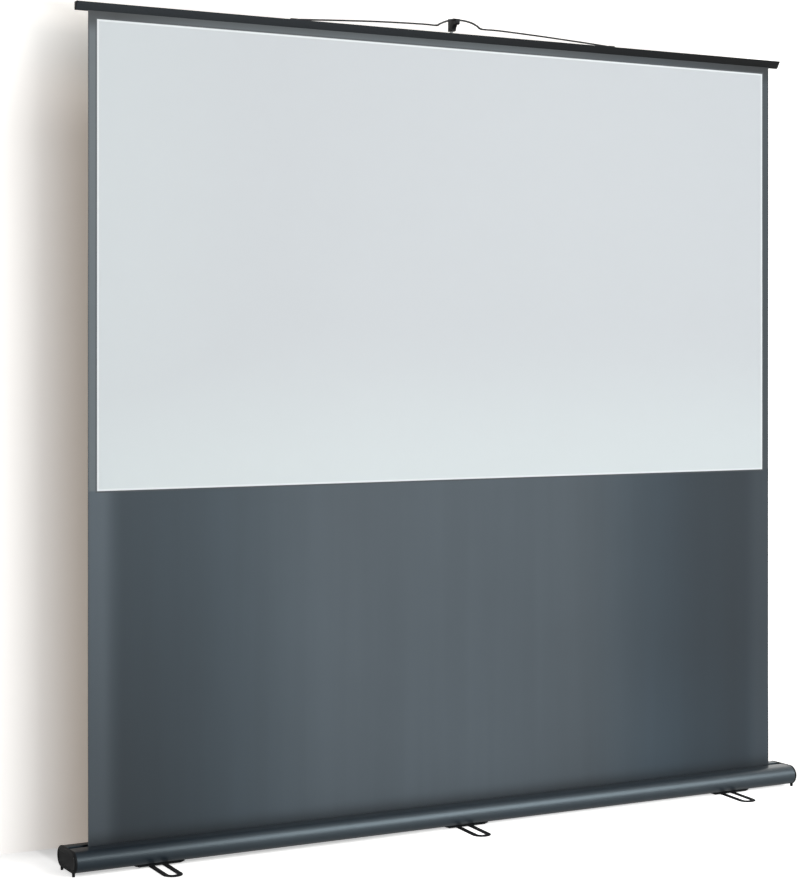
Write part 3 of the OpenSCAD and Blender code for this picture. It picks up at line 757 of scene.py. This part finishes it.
# Ranges are from, to and the values there; rims and the hem are in metres from their edge
clothFinish = {
    "white": rgb(0.663, 0.684, 0.706),
    # painted light: the white turns lighter towards the bottom and the left
    "whiteLit": rgb(0.726, 0.772, 0.782),
    "whiteFoot": (0.97, 1.48, 1.0, 0.0),
    "whiteSide": (-1.12, -0.55, 0.45, 0.0),
    "whiteEdge": (0.0006, -0.0006),
    "whiteGrain": rgb(0.62, 0.66, 0.68),
    "whiteGrainShare": 0.05,
    "rimLight": rgb(0.86, 0.885, 0.90),
    "rimLightSpan": (-0.006, -0.0045),
    "rimDark": rgb(0.055, 0.062, 0.068),
    "rimDarkSpan": (0.0052, 0.0036),
    "rimDarkStart": (0.0, 0.0008),
    "rimDarkShare": 0.75,
    "hem": (0.0042, 0.0026),
    "hemShare": 0.7,
    "border": rgb(0.088, 0.103, 0.112),
    "drop": rgb(0.071, 0.090, 0.107),
    # painted shade of the drop: the bands' colour, span and depth, the shade over the slot and at
    # the lower left
    "dropShadeBand": rgb(0.057, 0.088, 0.114),
    "fade": 0.002,
    "slotShade": (0.045, 0.112, 0.25, 1.0),
    "pull": (0.35, 1.0),
    "shadeBandEdge": (1.09, 1.03),
    "shadeBandDepth": 0.44,
    "fallSide": (-1.12, -0.45, 1.0, 0.0),
    "fallUp": (0.1, 1.0, 0.48, 0.2),
    # painted light and shade on the border and the drop: upper corners, left edge, right side,
    # lower right and under the bar
    "cornerSide": (0.75, 1.12),
    "cornerUp": (2.20, 2.245),
    "cornerDepth": 0.68,
    "sheenLeft": (-1.10, -1.05, 1.40, 1.0),
    "sheenRight": (0.15, 1.05, 1.0, 0.37),
    "rightTint": rgb(1.05, 1.17, 1.25),
    "rightSpan": (0.42, 0.78),
    "rightFoot": (0.14, 0.50, 0.27, 0.0),
    "barShade": (2.2435, 2.2635, 0.98, 0.58),
    "borderRight": (0.15, 0.58, 1.0, 0.76),
    "threads": 1600.0,
    "grain": {"Scale": 900.0, "Patches": 3.2},
    "grainTone": (0.95, 1.05),
    "streakStretch": (26.0, 1.3, 1.0),
    "streakNoise": (1.0, 3.0, 0.5),
    "streakTone": (0.3, 0.7, 0.95, 1.05),
    "threadRise": 0.5,
    "rough": (0.50, 0.75),
    "coat": {"specular": 0.35, "depth": 0.00004, "strength": 0.6},
    "back": rgb(0.030, 0.031, 0.034),
    "backLight": rgb(0.048, 0.050, 0.054),
    "backGap": rgb(0.012, 0.012, 0.013),
    "backGapShare": 0.35,
    "backThreads": 1100.0,
    "backGrain": {"Scale": 700.0, "Patches": 4.0},
    "backThreadRise": 0.7,
    "backCoat": {"rough": 0.8, "specular": 0.25, "depth": 0.00006, "strength": 0.8},
}


def makeClothFront(look, cloth):
    material, tree, shader = newMaterial("clothFront")
    flat = surfaceMap(tree)
    place = split(flat)
    size, half = cloth["mapSize"], cloth["width"] / 2
    low, high, fade = cloth["pictureLow"], cloth["pictureHigh"], look["fade"]
    x = calc("MULTIPLY_ADD", place["X"], size, -size / 2)
    z = times(place["Y"], size)
    across = calc("ABSOLUTE", x)
    level = calc("ABSOLUTE", calc("SUBTRACT", z, (low + high) / 2))
    outside = calc("MAXIMUM", calc("SUBTRACT", across, cloth["pictureHalf"]),
                   calc("SUBTRACT", level, (high - low) / 2))  # distance out of the white area
    white = ramp(outside, *look["whiteEdge"])
    light = times(ramp(outside, *look["rimLightSpan"]), white)
    lined = times(ramp(outside, *look["rimDarkSpan"]), ramp(outside, *look["rimDarkStart"]))
    hem = ramp(across, *(half - inset for inset in look["hem"]))
    weave = useGroup(weaveGroup, flat, Threads=look["threads"])
    grain = useGroup(grainGroup, flat, **look["grain"])
    streaks = noise(stretched(flat, look["streakStretch"]), *look["streakNoise"])
    # painted shade on the drop: darker, bluer bands across it, darker at the lower left and just
    # over the slot; streaks of tone at random
    dropped = ramp(z, low + fade, low - fade)
    shadeBand = times(ramp(across, *look["pull"]), ramp(across, *look["shadeBandEdge"]))
    fall = times(ramp(x, *look["fallSide"]), ramp(z, *look["fallUp"]))
    bands = times(dimmed(shadeBand, look["shadeBandDepth"]), ramp(streaks, *look["streakTone"]),
                  ramp(z, *look["slotShade"]), dimmed(fall))
    # painted light and shade: lighter at the left edge and at the lower right, darker towards the
    # right, under the bar and in the upper corners
    corner = times(ramp(across, *look["cornerSide"]), ramp(z, *look["cornerUp"]))
    right = ramp(x, *look["rightSpan"])
    lift = calc("ADD", times(right, ramp(z, *look["rightFoot"])), 1.0)
    under = times(ramp(z, *look["barShade"]), ramp(x, *look["borderRight"]))
    shade = times(within(dropped, bands), ramp(grain["Tone"], 0.0, 1.0, *look["grainTone"]),
                  dimmed(corner, look["cornerDepth"]), ramp(x, *look["sheenLeft"]),
                  ramp(x, *look["sheenRight"]), lift, within(ramp(z, high - fade, high), under))
    grey = put(tree, "ShaderNodeCombineColor", {0: shade, 1: shade, 2: shade})
    # the drop turns to a darker, bluer painted shade in the bands
    dark = blendColour(dropped, look["border"],
                       blendColour(shadeBand, look["drop"], look["dropShadeBand"]))
    # painted light at the right: a bluer tint
    dark = blendColour(right, dark, look["rightTint"], "MULTIPLY")
    dark = blendColour(1.0, dark, grey.outputs[0], "MULTIPLY")
    dark = blendColour(times(lined, look["rimDarkShare"]), dark, look["rimDark"])
    dark = blendColour(times(hem, look["hemShare"]), dark, look["rimDark"])
    # painted light: the white lighter towards the bottom and the left
    lit = calc("MAXIMUM", ramp(z, *look["whiteFoot"]), ramp(x, *look["whiteSide"]))
    clean = blendColour(lit, look["white"], look["whiteLit"])
    clean = blendColour(light, clean, look["rimLight"])
    clean = blendColour(times(grain["Tone"], look["whiteGrainShare"]), clean,
                        look["whiteGrain"])
    height = calc("MULTIPLY_ADD", weave["Height"], look["threadRise"], grain["Height"])
    coat(shader, blendColour(white, dark, clean), height,
         ramp(white, 0.0, 1.0, *look["rough"]), **look["coat"])
    return material


def makeClothBack(look):
    material, tree, shader = newMaterial("clothBack")
    flat = surfaceMap(tree)
    weave = useGroup(weaveGroup, flat, Threads=look["backThreads"])
    grain = useGroup(grainGroup, flat, **look["backGrain"])
    colour = blendColour(grain["Tone"], look["back"], look["backLight"])
    # painted shade: darker where the threads part
    colour = blendColour(times(weave["Gap"], look["backGapShare"]), colour, look["backGap"])
    height = calc("MULTIPLY_ADD", weave["Height"], look["backThreadRise"], grain["Height"])
    coat(shader, colour, height, **look["backCoat"])
    return material


def smoothShare(value, low, high):
    t = min(max((value - low) / (high - low), 0.0), 1.0)
    return t * t * (3 - 2 * t)


def clothDepth(x, z):
    # gentle upright waves, none in the slot and in the stretch that the lowered bar takes in
    look = clothLook
    hold = smoothShare(z, *look["holdLow"]) * smoothShare(look["barLow"] - z, *look["holdHigh"])
    share, pitch, place = look["waveBroad"]
    wave = share * math.cos(pitch * (x - place))
    share, pitch, place, lean = look["waveFine"]
    wave += share * math.sin(pitch * x + place + lean * z)
    curl = math.exp(-(look["width"] / 2 - abs(x)) / look["curlReach"])
    return hold * (look["waveMean"] + look["waveDepth"] * wave + look["edgeCurl"] * curl)


def sheetMesh(name, low, high, rows, front, back):
    # a closed sheet between two offsets from the cloth's middle; faces: 0 front and rim, 1 back
    half, columns, size = clothLook["width"] / 2, clothLook["columns"], clothLook["mapSize"]
    points = []
    flats = []
    for offset in (front, back):
        for z in np.linspace(low, high, rows + 1):
            for x in np.linspace(-half, half, columns + 1):
                points.append((x, clothDepth(x, z) + offset, z))
                flats.append((x / size + 0.5, z / size))
    wide = columns + 1
    layer = wide * (rows + 1)
    faces = []
    marks = []
    for j in range(rows):
        for i in range(columns):
            a = j * wide + i
            faces.append((a, a + 1, a + wide + 1, a + wide))
            faces.append(tuple(layer + k for k in (a, a + wide, a + wide + 1, a + 1)))
            marks += [0, 1]
    for j in range(rows):
        a, b = j * wide, j * wide + columns
        faces.append((a, a + wide, layer + a + wide, layer + a))
        faces.append((b, layer + b, layer + b + wide, b + wide))
    for i in range(columns):
        b = rows * wide + i
        faces.append((i, layer + i, layer + i + 1, i + 1))
        faces.append((b, b + 1, layer + b + 1, layer + b))
    marks += [0] * (len(faces) - len(marks))
    mesh = buildMesh(name, points, faces, [flats[k] for face in faces for k in face])
    mesh.polygons.foreach_set("material_index", marks)
    turnOutwards(mesh)
    return mesh


def makeWeldDashes(look):
    # pressed dashes of the weld, in two double rows along the strip
    steps, end = look["dashWaveSteps"], look["dashEnd"]
    depth = look["thickness"] / 2 + look["weldRise"]
    spots = [end * (2 * k / steps - 1) for k in range(steps + 1)]
    rows = None
    for level in look["dashLevels"]:
        guide = drawCurve("weldLine", [(x, clothDepth(x, level) - depth, level)
                                       for x in spots], False)
        row = bakeTree("weldDashes", dashRow, Path=guide, Pitch=look["dashPitch"],
                       Size=look["dashSize"], MapSize=look["mapSize"], Finish=clothFront)
        bpy.data.curves.remove(guide.data)
        if rows is None:
            rows = row
        else:
            joinMeshes(rows, row.data)
            bpy.data.objects.remove(row)
    return rows


def makeCloth(look):
    half = look["thickness"] / 2
    sheets = {
        "screenCloth": (look["low"], look["high"], look["rows"], -half, half),
        "weldStrip": (look["weldLow"], look["weldHigh"], look["weldRows"],
                      -half - look["weldRise"], -half + look["weldSink"])}
    cloth, weld = (linkPiece(name, sheetMesh(name, *sheet), clothFront, clothBack)
                   for name, sheet in sheets.items())
    dashes = makeWeldDashes(look)
    for piece, *replaced in ((cloth, "screen_cloth"), (weld,), (dashes,)):
        attach(piece, "case", "dark_cloth", *replaced)
        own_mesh(piece)


clothFront = makeClothFront(clothFinish, clothLook)
clothBack = makeClothBack(clothFinish)
makeCloth(clothLook)
print("cloth: made")


# Screws with a hexagon socket; the profile is in shares of the head's radius and height
screwLook = {
    "headRadius": 0.003,
    "headHeight": 0.002,
    "profile": [(0.92, 0.0), (1.0, 0.12), (1.0, 0.5), (0.93, 0.78), (0.78, 0.94), (0.62, 1.0)],
    "socket": 0.0014,
    "socketDepth": 0.0012,
    "sides": 24,
    "seed": 7,
    "capX": 1.1895,
    "channelY": (-0.0539, 0.0599),
    "channelZ": 0.0159,
    "clevisX": 0.023,
    "clevisY": (0.033, 0.055),
    "clevisZ": 0.0672,
    "anchorX": 0.5305,
    "anchorZ": 2.2878,
    "anchorScale": 0.8,
}


# Case, extruded with a slot along its top
caseLook = {
    "halfLength": 1.185,
    "centre": 0.0365,
    "radius": 0.028,
    "wall": 0.002,
    "frontCentre": -0.038,
    "backCentre": 0.044,
    "slotFront": -0.002,
    "slotBack": 0.020,
    "lip": 0.005,
    "edge": 0.0007,
    "arcSteps": 40,
    "channelRadius": 0.0042,
    "channelBore": 0.0017,
    "channelSides": 24,
}


def arcPoints(centre, radius, start, end, steps):
    angles = [math.radians(start + (end - start) * k / steps) for k in range(steps + 1)]
    return [(centre + radius * math.cos(a), radius * math.sin(a)) for a in angles]


def channelTube(look, y, z):
    # screw channel along the inside of a corner, let into the wall
    end, radius, bore = look["halfLength"], look["channelRadius"], look["channelBore"]
    return ringMesh("channel", [
        [Vector((x, y + r * math.cos(a), z + r * math.sin(a)))
         for a in circleAngles(look["channelSides"])]
        for x, r in ((-end, radius), (end, radius), (end, bore), (-end, bore))], True)


def makeCase(look):
    radius, wall, steps = look["radius"], look["wall"], look["arcSteps"]
    inner, lip = radius - wall, radius - wall - look["lip"]
    first, last = look["frontCentre"], look["backCentre"]
    front, back = look["slotFront"], look["slotBack"]
    outer = [(front, radius)] + arcPoints(first, radius, 90, 270, steps)
    outer += arcPoints(last, radius, -90, 90, steps) + [(back, radius)]
    inside = [(back, lip), (back + wall, lip), (back + wall, inner)]
    inside += arcPoints(last, inner, 90, -90, steps)
    inside += arcPoints(first, inner, 270, 90, steps)
    inside += [(front - wall, inner), (front - wall, lip), (front, lip)]
    radii = [0.0] * len(outer + inside)
    radii[0] = radii[len(outer) - 1] = look["edge"]
    for k in (len(outer), len(outer) + 1, -2, -1):
        radii[k] = look["edge"] * 0.8
    section = [(y, z + look["centre"]) for y, z in roundCorners(outer + inside, radii, 3)]
    path = [(-look["halfLength"], 0, 0), (look["halfLength"], 0, 0)]
    case = sweepPiece("caseShell", path, False, section, finish["caseLacquer"])
    for y in screwLook["channelY"]:
        for level in (-1, 1):
            joinMeshes(case, channelTube(look, y, look["centre"] + level * screwLook["channelZ"]))
    shadeBy(case.data)
    attach(case, "case", "case_paint", "case_extrusion")


makeCase(caseLook)


# Top bar, a slanted hollow profile with a mouth for the cloth; outline and corners in millimetres
barLook = {
    "halfLength": 1.1655,
    "base": 2.264,
    "outline": [(0.5, 0), (1.17, -1), (6, -1), (6, 21), (-14.5, 21), (-0.5, 0),
                (-0.5, 2.705), (-11.7, 19.5), (4.5, 19.5), (4.5, 1.5), (0.5, 1.5)],
    "corners": [0.2, 0.3, 0.5, 0.9, 0.7, 0.2, 0.0, 0.3, 0.3, 0.3, 0.0],
}


def makeBar(look):
    section = roundCorners([(y / 1000, z / 1000 + look["base"]) for y, z in look["outline"]],
                           [r / 1000 for r in look["corners"]])
    path = [(-look["halfLength"], 0, 0), (look["halfLength"], 0, 0)]
    bar = sweepPiece("barProfile", path, False, section, finish["barLacquer"])
    attach(bar, "bar", "bar_paint", "top_bar")


makeBar(barLook)


# Feet, a flat rail bent to a long loop with a hub in the middle
footLook = {
    "places": {"left_foot": -0.947, "centre_foot": 0.0, "right_foot": 0.947},
    "turns": {"left_foot": 2.4, "centre_foot": 4.8, "right_foot": 6.3},
    "straight": 0.1453,
    "bend": 0.0197,
    "railHalf": 0.0075,
    "thick": 0.0032,
    "chamfer": 0.0009,
    "rounding": [0.0003] * 4 + [0.0006] * 4,
    "bendSteps": 28,
    "hub": 0.018,
    "hubTop": 0.0031,
    "hubSides": 64,
    "bore": 0.00905,
    "sink": 0.0018,
    "sinkRadius": 0.0123,
}


def latheRings(profile, centre, sides):
    # rings about Z from (radius, height) points
    return [[Vector((centre[0] + radius * math.cos(a), centre[1] + radius * math.sin(a), height))
             for a in circleAngles(sides)] for radius, height in profile]


def makeFoot(node, x, look):
    e, thick, half = look["chamfer"], look["thick"], look["railHalf"]
    section = roundCorners([
        (-half, e / 2), (-half + e / 2, 0), (half - e / 2, 0), (half, e / 2), (half, thick - e),
        (half - e, thick), (-half + e, thick), (-half, thick - e)], look["rounding"], 2)
    path = []
    turn = math.radians(-look["turns"][node])
    for side in (1, -1):
        for k in range(look["bendSteps"] + 1):
            a = math.pi * k / look["bendSteps"] + (0 if side == 1 else math.pi)
            out = look["bend"] * math.cos(a)
            ahead = side * look["straight"] + look["bend"] * math.sin(a)
            path.append((x + out * math.cos(turn) - ahead * math.sin(turn),
                         out * math.sin(turn) + ahead * math.cos(turn), 0))
    foot = sweepPiece(node.replace("_foot", "Foot"), path, True, section, finish["footPlastic"])
    foot.visible_glossy = False  # else the loops' reflections darken the case above them
    hub, top, bore = look["hub"], look["hubTop"], look["bore"]
    sink, wide = look["sink"], look["sinkRadius"]
    joinMeshes(foot, ringMesh("hub", latheRings(
        [(wide, 0.0), (hub, 0.0), (hub, top), (bore, top), (bore, sink), (wide, sink)],
        (x, 0), look["hubSides"]), True))
    shadeBy(foot.data)
    attach(foot, node, "black_plastic", node)


for footNode, footX in footLook["places"].items():
    makeFoot(footNode, footX, footLook)
print("case, bar and feet: swept")


# Torsion spring inside the roller
springLook = {
    "Start": (0.7177, -0.01725, 0.0365),
    "Length": 0.400,
    "Radius": 0.010,
    "Wire": 0.001,
    "Turns": 20.0,
}
spring = bakeTree("torsionSpring", coilWire, Finish=finish["zincSteel"], **springLook)
attach(spring, "case", "steel", "torsion_spring")


def screwHead(look, scale):
    rings = latheRings([(look["headRadius"] * wide, look["headHeight"] * high)
                        for wide, high in look["profile"]], (0, 0), look["sides"])
    corner = math.pi / 6
    for depth in (0.0, look["socketDepth"]):
        ring = []
        for a in circleAngles(look["sides"]):
            flat = (a + corner) % (2 * corner) - corner
            reach = look["socket"] * math.cos(corner) / math.cos(flat)
            ring.append(Vector((reach * math.cos(a), reach * math.sin(a),
                                look["headHeight"] - depth)))
        rings.append(ring)
    return ringMesh("screwHead", [[scale * spot for spot in ring] for ring in rings])


def placeFasteners(name, places, material, body, *replaced, scale=1.0):
    start = bpy.data.meshes.new(name)
    start.from_pydata([spot for spot, facing in places], [], [])
    layer = start.attributes.new("facing", "FLOAT_VECTOR", "POINT")
    for item, (spot, facing) in zip(layer.data, places):
        item.vector = facing
    model = linkPiece("screwModel", screwHead(screwLook, scale))
    row = bakeTree(name, fastenerRow, start, Fastener=model, Spin=math.tau,
                   Seed=screwLook["seed"], Finish=finish[material])
    bpy.data.objects.remove(model)
    attach(row, body, "steel", *replaced)


def placeScrews(look, centre):
    placeFasteners("capScrews", [
        ((end * look["capX"], y, centre + level * look["channelZ"]), (end, 0, 0))
        for end in (-1, 1) for y in look["channelY"] for level in (-1, 1)],
        "blackScrew", "case", "end_cap_screws")
    placeFasteners("clevisScrews", [
        ((side * look["clevisX"], y, look["clevisZ"]), (0, 0, 1))
        for side in (-1, 1) for y in look["clevisY"]], "zincSteel", "case", "clevis_screws")
    placeFasteners("anchorScrews", [
        ((side * look["anchorX"], 0, look["anchorZ"]), (0, 0, 1)) for side in (-1, 1)],
        "blackScrew", "bar", scale=look["anchorScale"])


placeScrews(screwLook, caseLook["centre"])
print("screws and spring: placed")


# Turns of cloth left on the roller, wound as a spiral
rollLook = {
    "axis": (-0.01725, 0.0365),
    "inner": 0.01605,
    "outer": 0.0169,
    "thickness": 0.0004,
    "turns": 1.8,
    "steps": 110,
}


def makeRoll(look):
    half = clothLook["width"] / 2
    y, z = look["axis"]
    rings = []
    for k in range(look["steps"] + 1):
        share = k / look["steps"]
        angle = -2 * math.pi * look["turns"] * (1 - share)
        far = look["inner"] + (look["outer"] - look["inner"]) * share
        near = far - look["thickness"]
        rings.append([Vector((x, y + r * math.cos(angle), z + r * math.sin(angle)))
                      for x, r in ((-half, far), (half, far), (half, near), (-half, near))])
    roll = linkPiece("rollTurns", ringMesh("rollTurns", rings), clothBack)
    attach(roll, "roller", "dark_cloth", "wound_cloth")


makeRoll(rollLook)


# CAD nodes with softened edges: a merged copy with a fine bevel of the given width
softened = {
    "left_end_cap": ("capPlastic", 0.0006),
    "right_end_cap": ("capPlastic", 0.0006),
    "left_foot_plate": ("capPlastic", 0.0003),
    "centre_foot_plate": ("capPlastic", 0.0003),
    "right_foot_plate": ("capPlastic", 0.0003),
    "mast_clevis": ("capPlastic", 0.0005),
    "mast_hook": ("hookPlastic", 0.0008),
    "left_bar_cap": ("capPlastic", 0.0004),
    "right_bar_cap": ("capPlastic", 0.0004),
    "left_cord_anchor": ("hookPlastic", 0.0005),
    "right_cord_anchor": ("hookPlastic", 0.0005),
    "mast_foot_plug": ("capPlastic", 0.0004),
    "lower_collar": ("capPlastic", 0.0003),
    "upper_collar": ("capPlastic", 0.0003),
    "mast_hinge_pin": ("zincSteel", 0.0004),
    "foot_pivot_screws": ("zincSteel", 0.0003),
}
softLook = {
    "slots": {"capPlastic": "black_plastic", "hookPlastic": "black_plastic",
              "zincSteel": "steel"},
    "merge": 0.00001,
    "flat": 0.6,
    "crisp": 38.0,
    "segments": 2,
    "profile": 0.6,
    "smooth": 40.0,
    "plateFront": (-0.024, -0.046),  # edge of the feet's plates in CAD and as photographed
}


def camelName(node):
    first, *rest = node.split("_")
    return first + "".join(word.capitalize() for word in rest)


def softenNode(node, material, width, look):
    shell = bmesh.new()
    shell.from_mesh(nodes[node].data)
    if node.endswith("foot_plate"):
        for vert in shell.verts:
            if vert.co.y < look["plateFront"][0]:
                vert.co.y = look["plateFront"][1]
    bmesh.ops.remove_doubles(shell, verts=shell.verts, dist=look["merge"])
    bmesh.ops.dissolve_limit(shell, angle_limit=math.radians(look["flat"]), verts=shell.verts,
                             edges=shell.edges)
    crisp = [e for e in shell.edges if e.is_manifold and
             e.calc_face_angle(0.0) > math.radians(look["crisp"])]
    bmesh.ops.bevel(shell, geom=crisp, offset=width, offset_type="OFFSET",
                    segments=look["segments"], profile=look["profile"], affect="EDGES",
                    clamp_overlap=True)
    mesh = bpy.data.meshes.new(camelName(node))
    shell.to_mesh(mesh)
    shell.free()
    mesh.materials.clear()
    shadeBy(mesh, look["smooth"])
    piece = linkPiece(camelName(node), mesh, finish[material])
    attach(piece, next(iter(body_of(nodes[node]))), look["slots"][material], node)


for softNode, (softFinish, softWidth) in softened.items():
    softenNode(softNode, softFinish, softWidth, softLook)
print("edges: softened on", len(softened), "nodes")


# CAD nodes that keep their shape and get a finish
kept = {
    "mastAlloy": ["lower_tube", "middle_tube", "upper_tube", "roller_tube"],
    "capPlastic": ["middle_bush", "upper_bush", "idler_plug", "spring_plug"],
    "zincSteel": ["left_roller_holder", "right_roller_holder", "idler_pin", "spring_shaft",
                  "cloth_clamp_rod"],
}
for keptFinish, keptNodes in kept.items():
    for node in keptNodes:
        nodes[node].data.materials.clear()
        nodes[node].data.materials.append(finish[keptFinish])


# Floor, wall, light and background
studio = {
    "floor": rgb(0.86, 0.86, 0.86),
    "floorSeen": rgb(0.97, 0.95, 0.92),
    "floorLift": 0.66,
    "floorFar": (4.0, 9.0, 1.0, 1.35),
    "floorHalf": 40.0,
    "floorSpecular": 0.1,
    "rough": 0.9,
    "wallPlace": 0.283,
    "wallSize": 30.0,
    "wall": rgb(0.99, 0.945, 0.895),
    # painted shadow behind the screen: its colour, how it darkens upwards and its reach
    "wallNear": rgb(0.205, 0.165, 0.13),
    "wallNearFade": (2.06, 2.22, 1.0, 0.35),
    "wallNearHalf": (0.99, 1.34),
    "wallNearTop": (2.27, 2.40),
    "wallFar": rgb(0.62, 0.62, 0.62),
    "foldDepth": 0.62,
    "foldReach": (0.12, 0.27),
    # painted shade at the case, painted light in front of its right half and painted shade near it
    # in reflections
    "contactReach": (-0.051, -0.044),
    "contactHalf": (1.165, 1.185),
    "contactDepth": 0.25,
    "fillReach": (-0.010, -0.025),
    "fillRight": (-0.45, 0.25, 0.0, 0.60),
    "mirrorReach": (-0.17, -0.06),
    "mirrorDepth": 0.75,
    "white": rgb(1.0, 1.0, 1.0),
    "black": rgb(0.0, 0.0, 0.0),
    "world": 0.27,
    "keyPlace": (0.1, -4.2, 2.45),
    "keyTurn": (52.0, 0.0, 24.0),
    "keySize": (1.7, 1.0),
    "keyPower": 55.0,
    "keyTint": (1.0, 0.985, 0.96),
    "stripPlace": (12.45, -16.2, 10.8),
    "stripTurn": (58.0, 0.0, 0.0),
    "stripSize": (10.1, 14.0),
    "stripPower": 3000.0,
    "stripTint": (0.92, 0.975, 1.0),
}


def seenDirectly(tree):
    path = put(tree, "ShaderNodeLightPath").outputs
    seen = calc("MAXIMUM", path["Is Camera Ray"], path["Is Glossy Ray"])
    return calc("MAXIMUM", seen, path["Is Transmission Ray"])


def stagePlane(name, corners, material):
    plane = linkPiece(name, buildMesh(name, corners, [(0, 1, 2, 3)]), material)
    return plane


def makeFloor(look):
    # white where it is seen, with the screen's soft shade painted in the fold and at the case, a
    # painted shade on the floor near the case where it is seen in reflections, and painted light
    # on the floor in front of the case's right half
    material, tree, shader = newMaterial("paleFloor")
    seen = seenDirectly(tree)
    ray = put(tree, "ShaderNodeLightPath").outputs
    spot = objectPlace(tree)
    away = put(tree, "ShaderNodeVectorMath", {0: spot}, operation="LENGTH").outputs["Value"]
    place = split(spot)
    across = calc("ABSOLUTE", place["X"])
    fold = times(ramp(place["Y"], *look["foldReach"]),
                 ramp(across, *look["wallNearHalf"], 1.0, 0.0))
    contact = times(ramp(place["Y"], *look["contactReach"]),
                    ramp(across, *look["contactHalf"], 1.0, 0.0))
    # painted shade: the floor near the case darker where it is seen in reflections
    mirrored = times(ramp(place["Y"], *look["mirrorReach"]), ray["Is Glossy Ray"])
    # painted light: the floor brighter just in front of the case's right half, for the camera
    fill = times(ramp(place["Y"], *look["fillReach"]), ramp(place["X"], *look["fillRight"]),
                 ray["Is Camera Ray"])
    lift = times(ramp(away, *look["floorFar"]), look["floorLift"],
                 dimmed(fold, look["foldDepth"]), dimmed(contact, look["contactDepth"]),
                 dimmed(mirrored, look["mirrorDepth"]), calc("ADD", fill, 1.0))
    feed(shader, {"Base Color": blendColour(seen, look["floor"], look["floorSeen"]),
                  "Roughness": look["rough"], "Specular IOR Level": look["floorSpecular"],
                  "Emission Color": look["white"], "Emission Strength": times(seen, lift)})
    size = look["floorHalf"]
    stagePlane("studioFloor", [(-size, -size, 0), (size, -size, 0), (size, size, 0),
                               (-size, size, 0)], material)


def makeWall(look):
    # takes the screen's shadow, with a painted shadow behind the screen and just beside its edges;
    # white further out, clear from behind, no light of its own on it
    material, tree, shader = newMaterial("paleWall")
    place = split(objectPlace(tree))
    # painted shadow: a dark, warm glow behind the screen, darker higher up, white beyond
    clear = calc("MAXIMUM", ramp(calc("ABSOLUTE", place["X"]), *look["wallNearHalf"]),
                 ramp(place["Z"], *look["wallNearTop"]))
    near = blendColour(ramp(place["Z"], *look["wallNearFade"]), look["black"],
                       look["wallNear"])
    behind = put(tree, "ShaderNodeNewGeometry").outputs["Backfacing"]
    feed(shader, {"Base Color": look["wall"], "Roughness": look["rough"],
                  "Specular IOR Level": 0.0, "Alpha": dimmed(behind),
                  "Emission Color": blendColour(clear, near, look["wallFar"]),
                  "Emission Strength": seenDirectly(tree)})
    size, y = look["wallSize"], look["wallPlace"]
    wall = stagePlane("studioWall", [(-size, y, 0), (size, y, 0), (size, y, size),
                                     (-size, y, size)], material)
    wall.visible_diffuse = wall.visible_transmission = wall.visible_shadow = False


def makeLamp(name, power, size, place, turn, tint):
    lamp = bpy.data.lights.new(name, "AREA")
    lamp.color = tint
    lamp.shape = "RECTANGLE"
    lamp.size, lamp.size_y = size
    lamp.energy = power
    stand(linkPiece(name, lamp), place, turn)


def makeStudio(look):
    makeFloor(look)
    makeWall(look)
    scene.world = bpy.data.worlds.new("studioWorld")
    scene.world.use_nodes = True
    tree = scene.world.node_tree
    shown = calc("MULTIPLY_ADD", seenDirectly(tree), 1.0 - look["world"], look["world"])
    feed(tree.nodes["Background"], {"Color": look["white"], "Strength": shown})
    for name in ("key", "strip"):
        makeLamp(name + "Light", *(look[name + part]
                                   for part in ("Power", "Size", "Place", "Turn", "Tint")))
    scene.view_settings.view_transform = "Standard"


makeStudio(studio)
print("studio: lit")
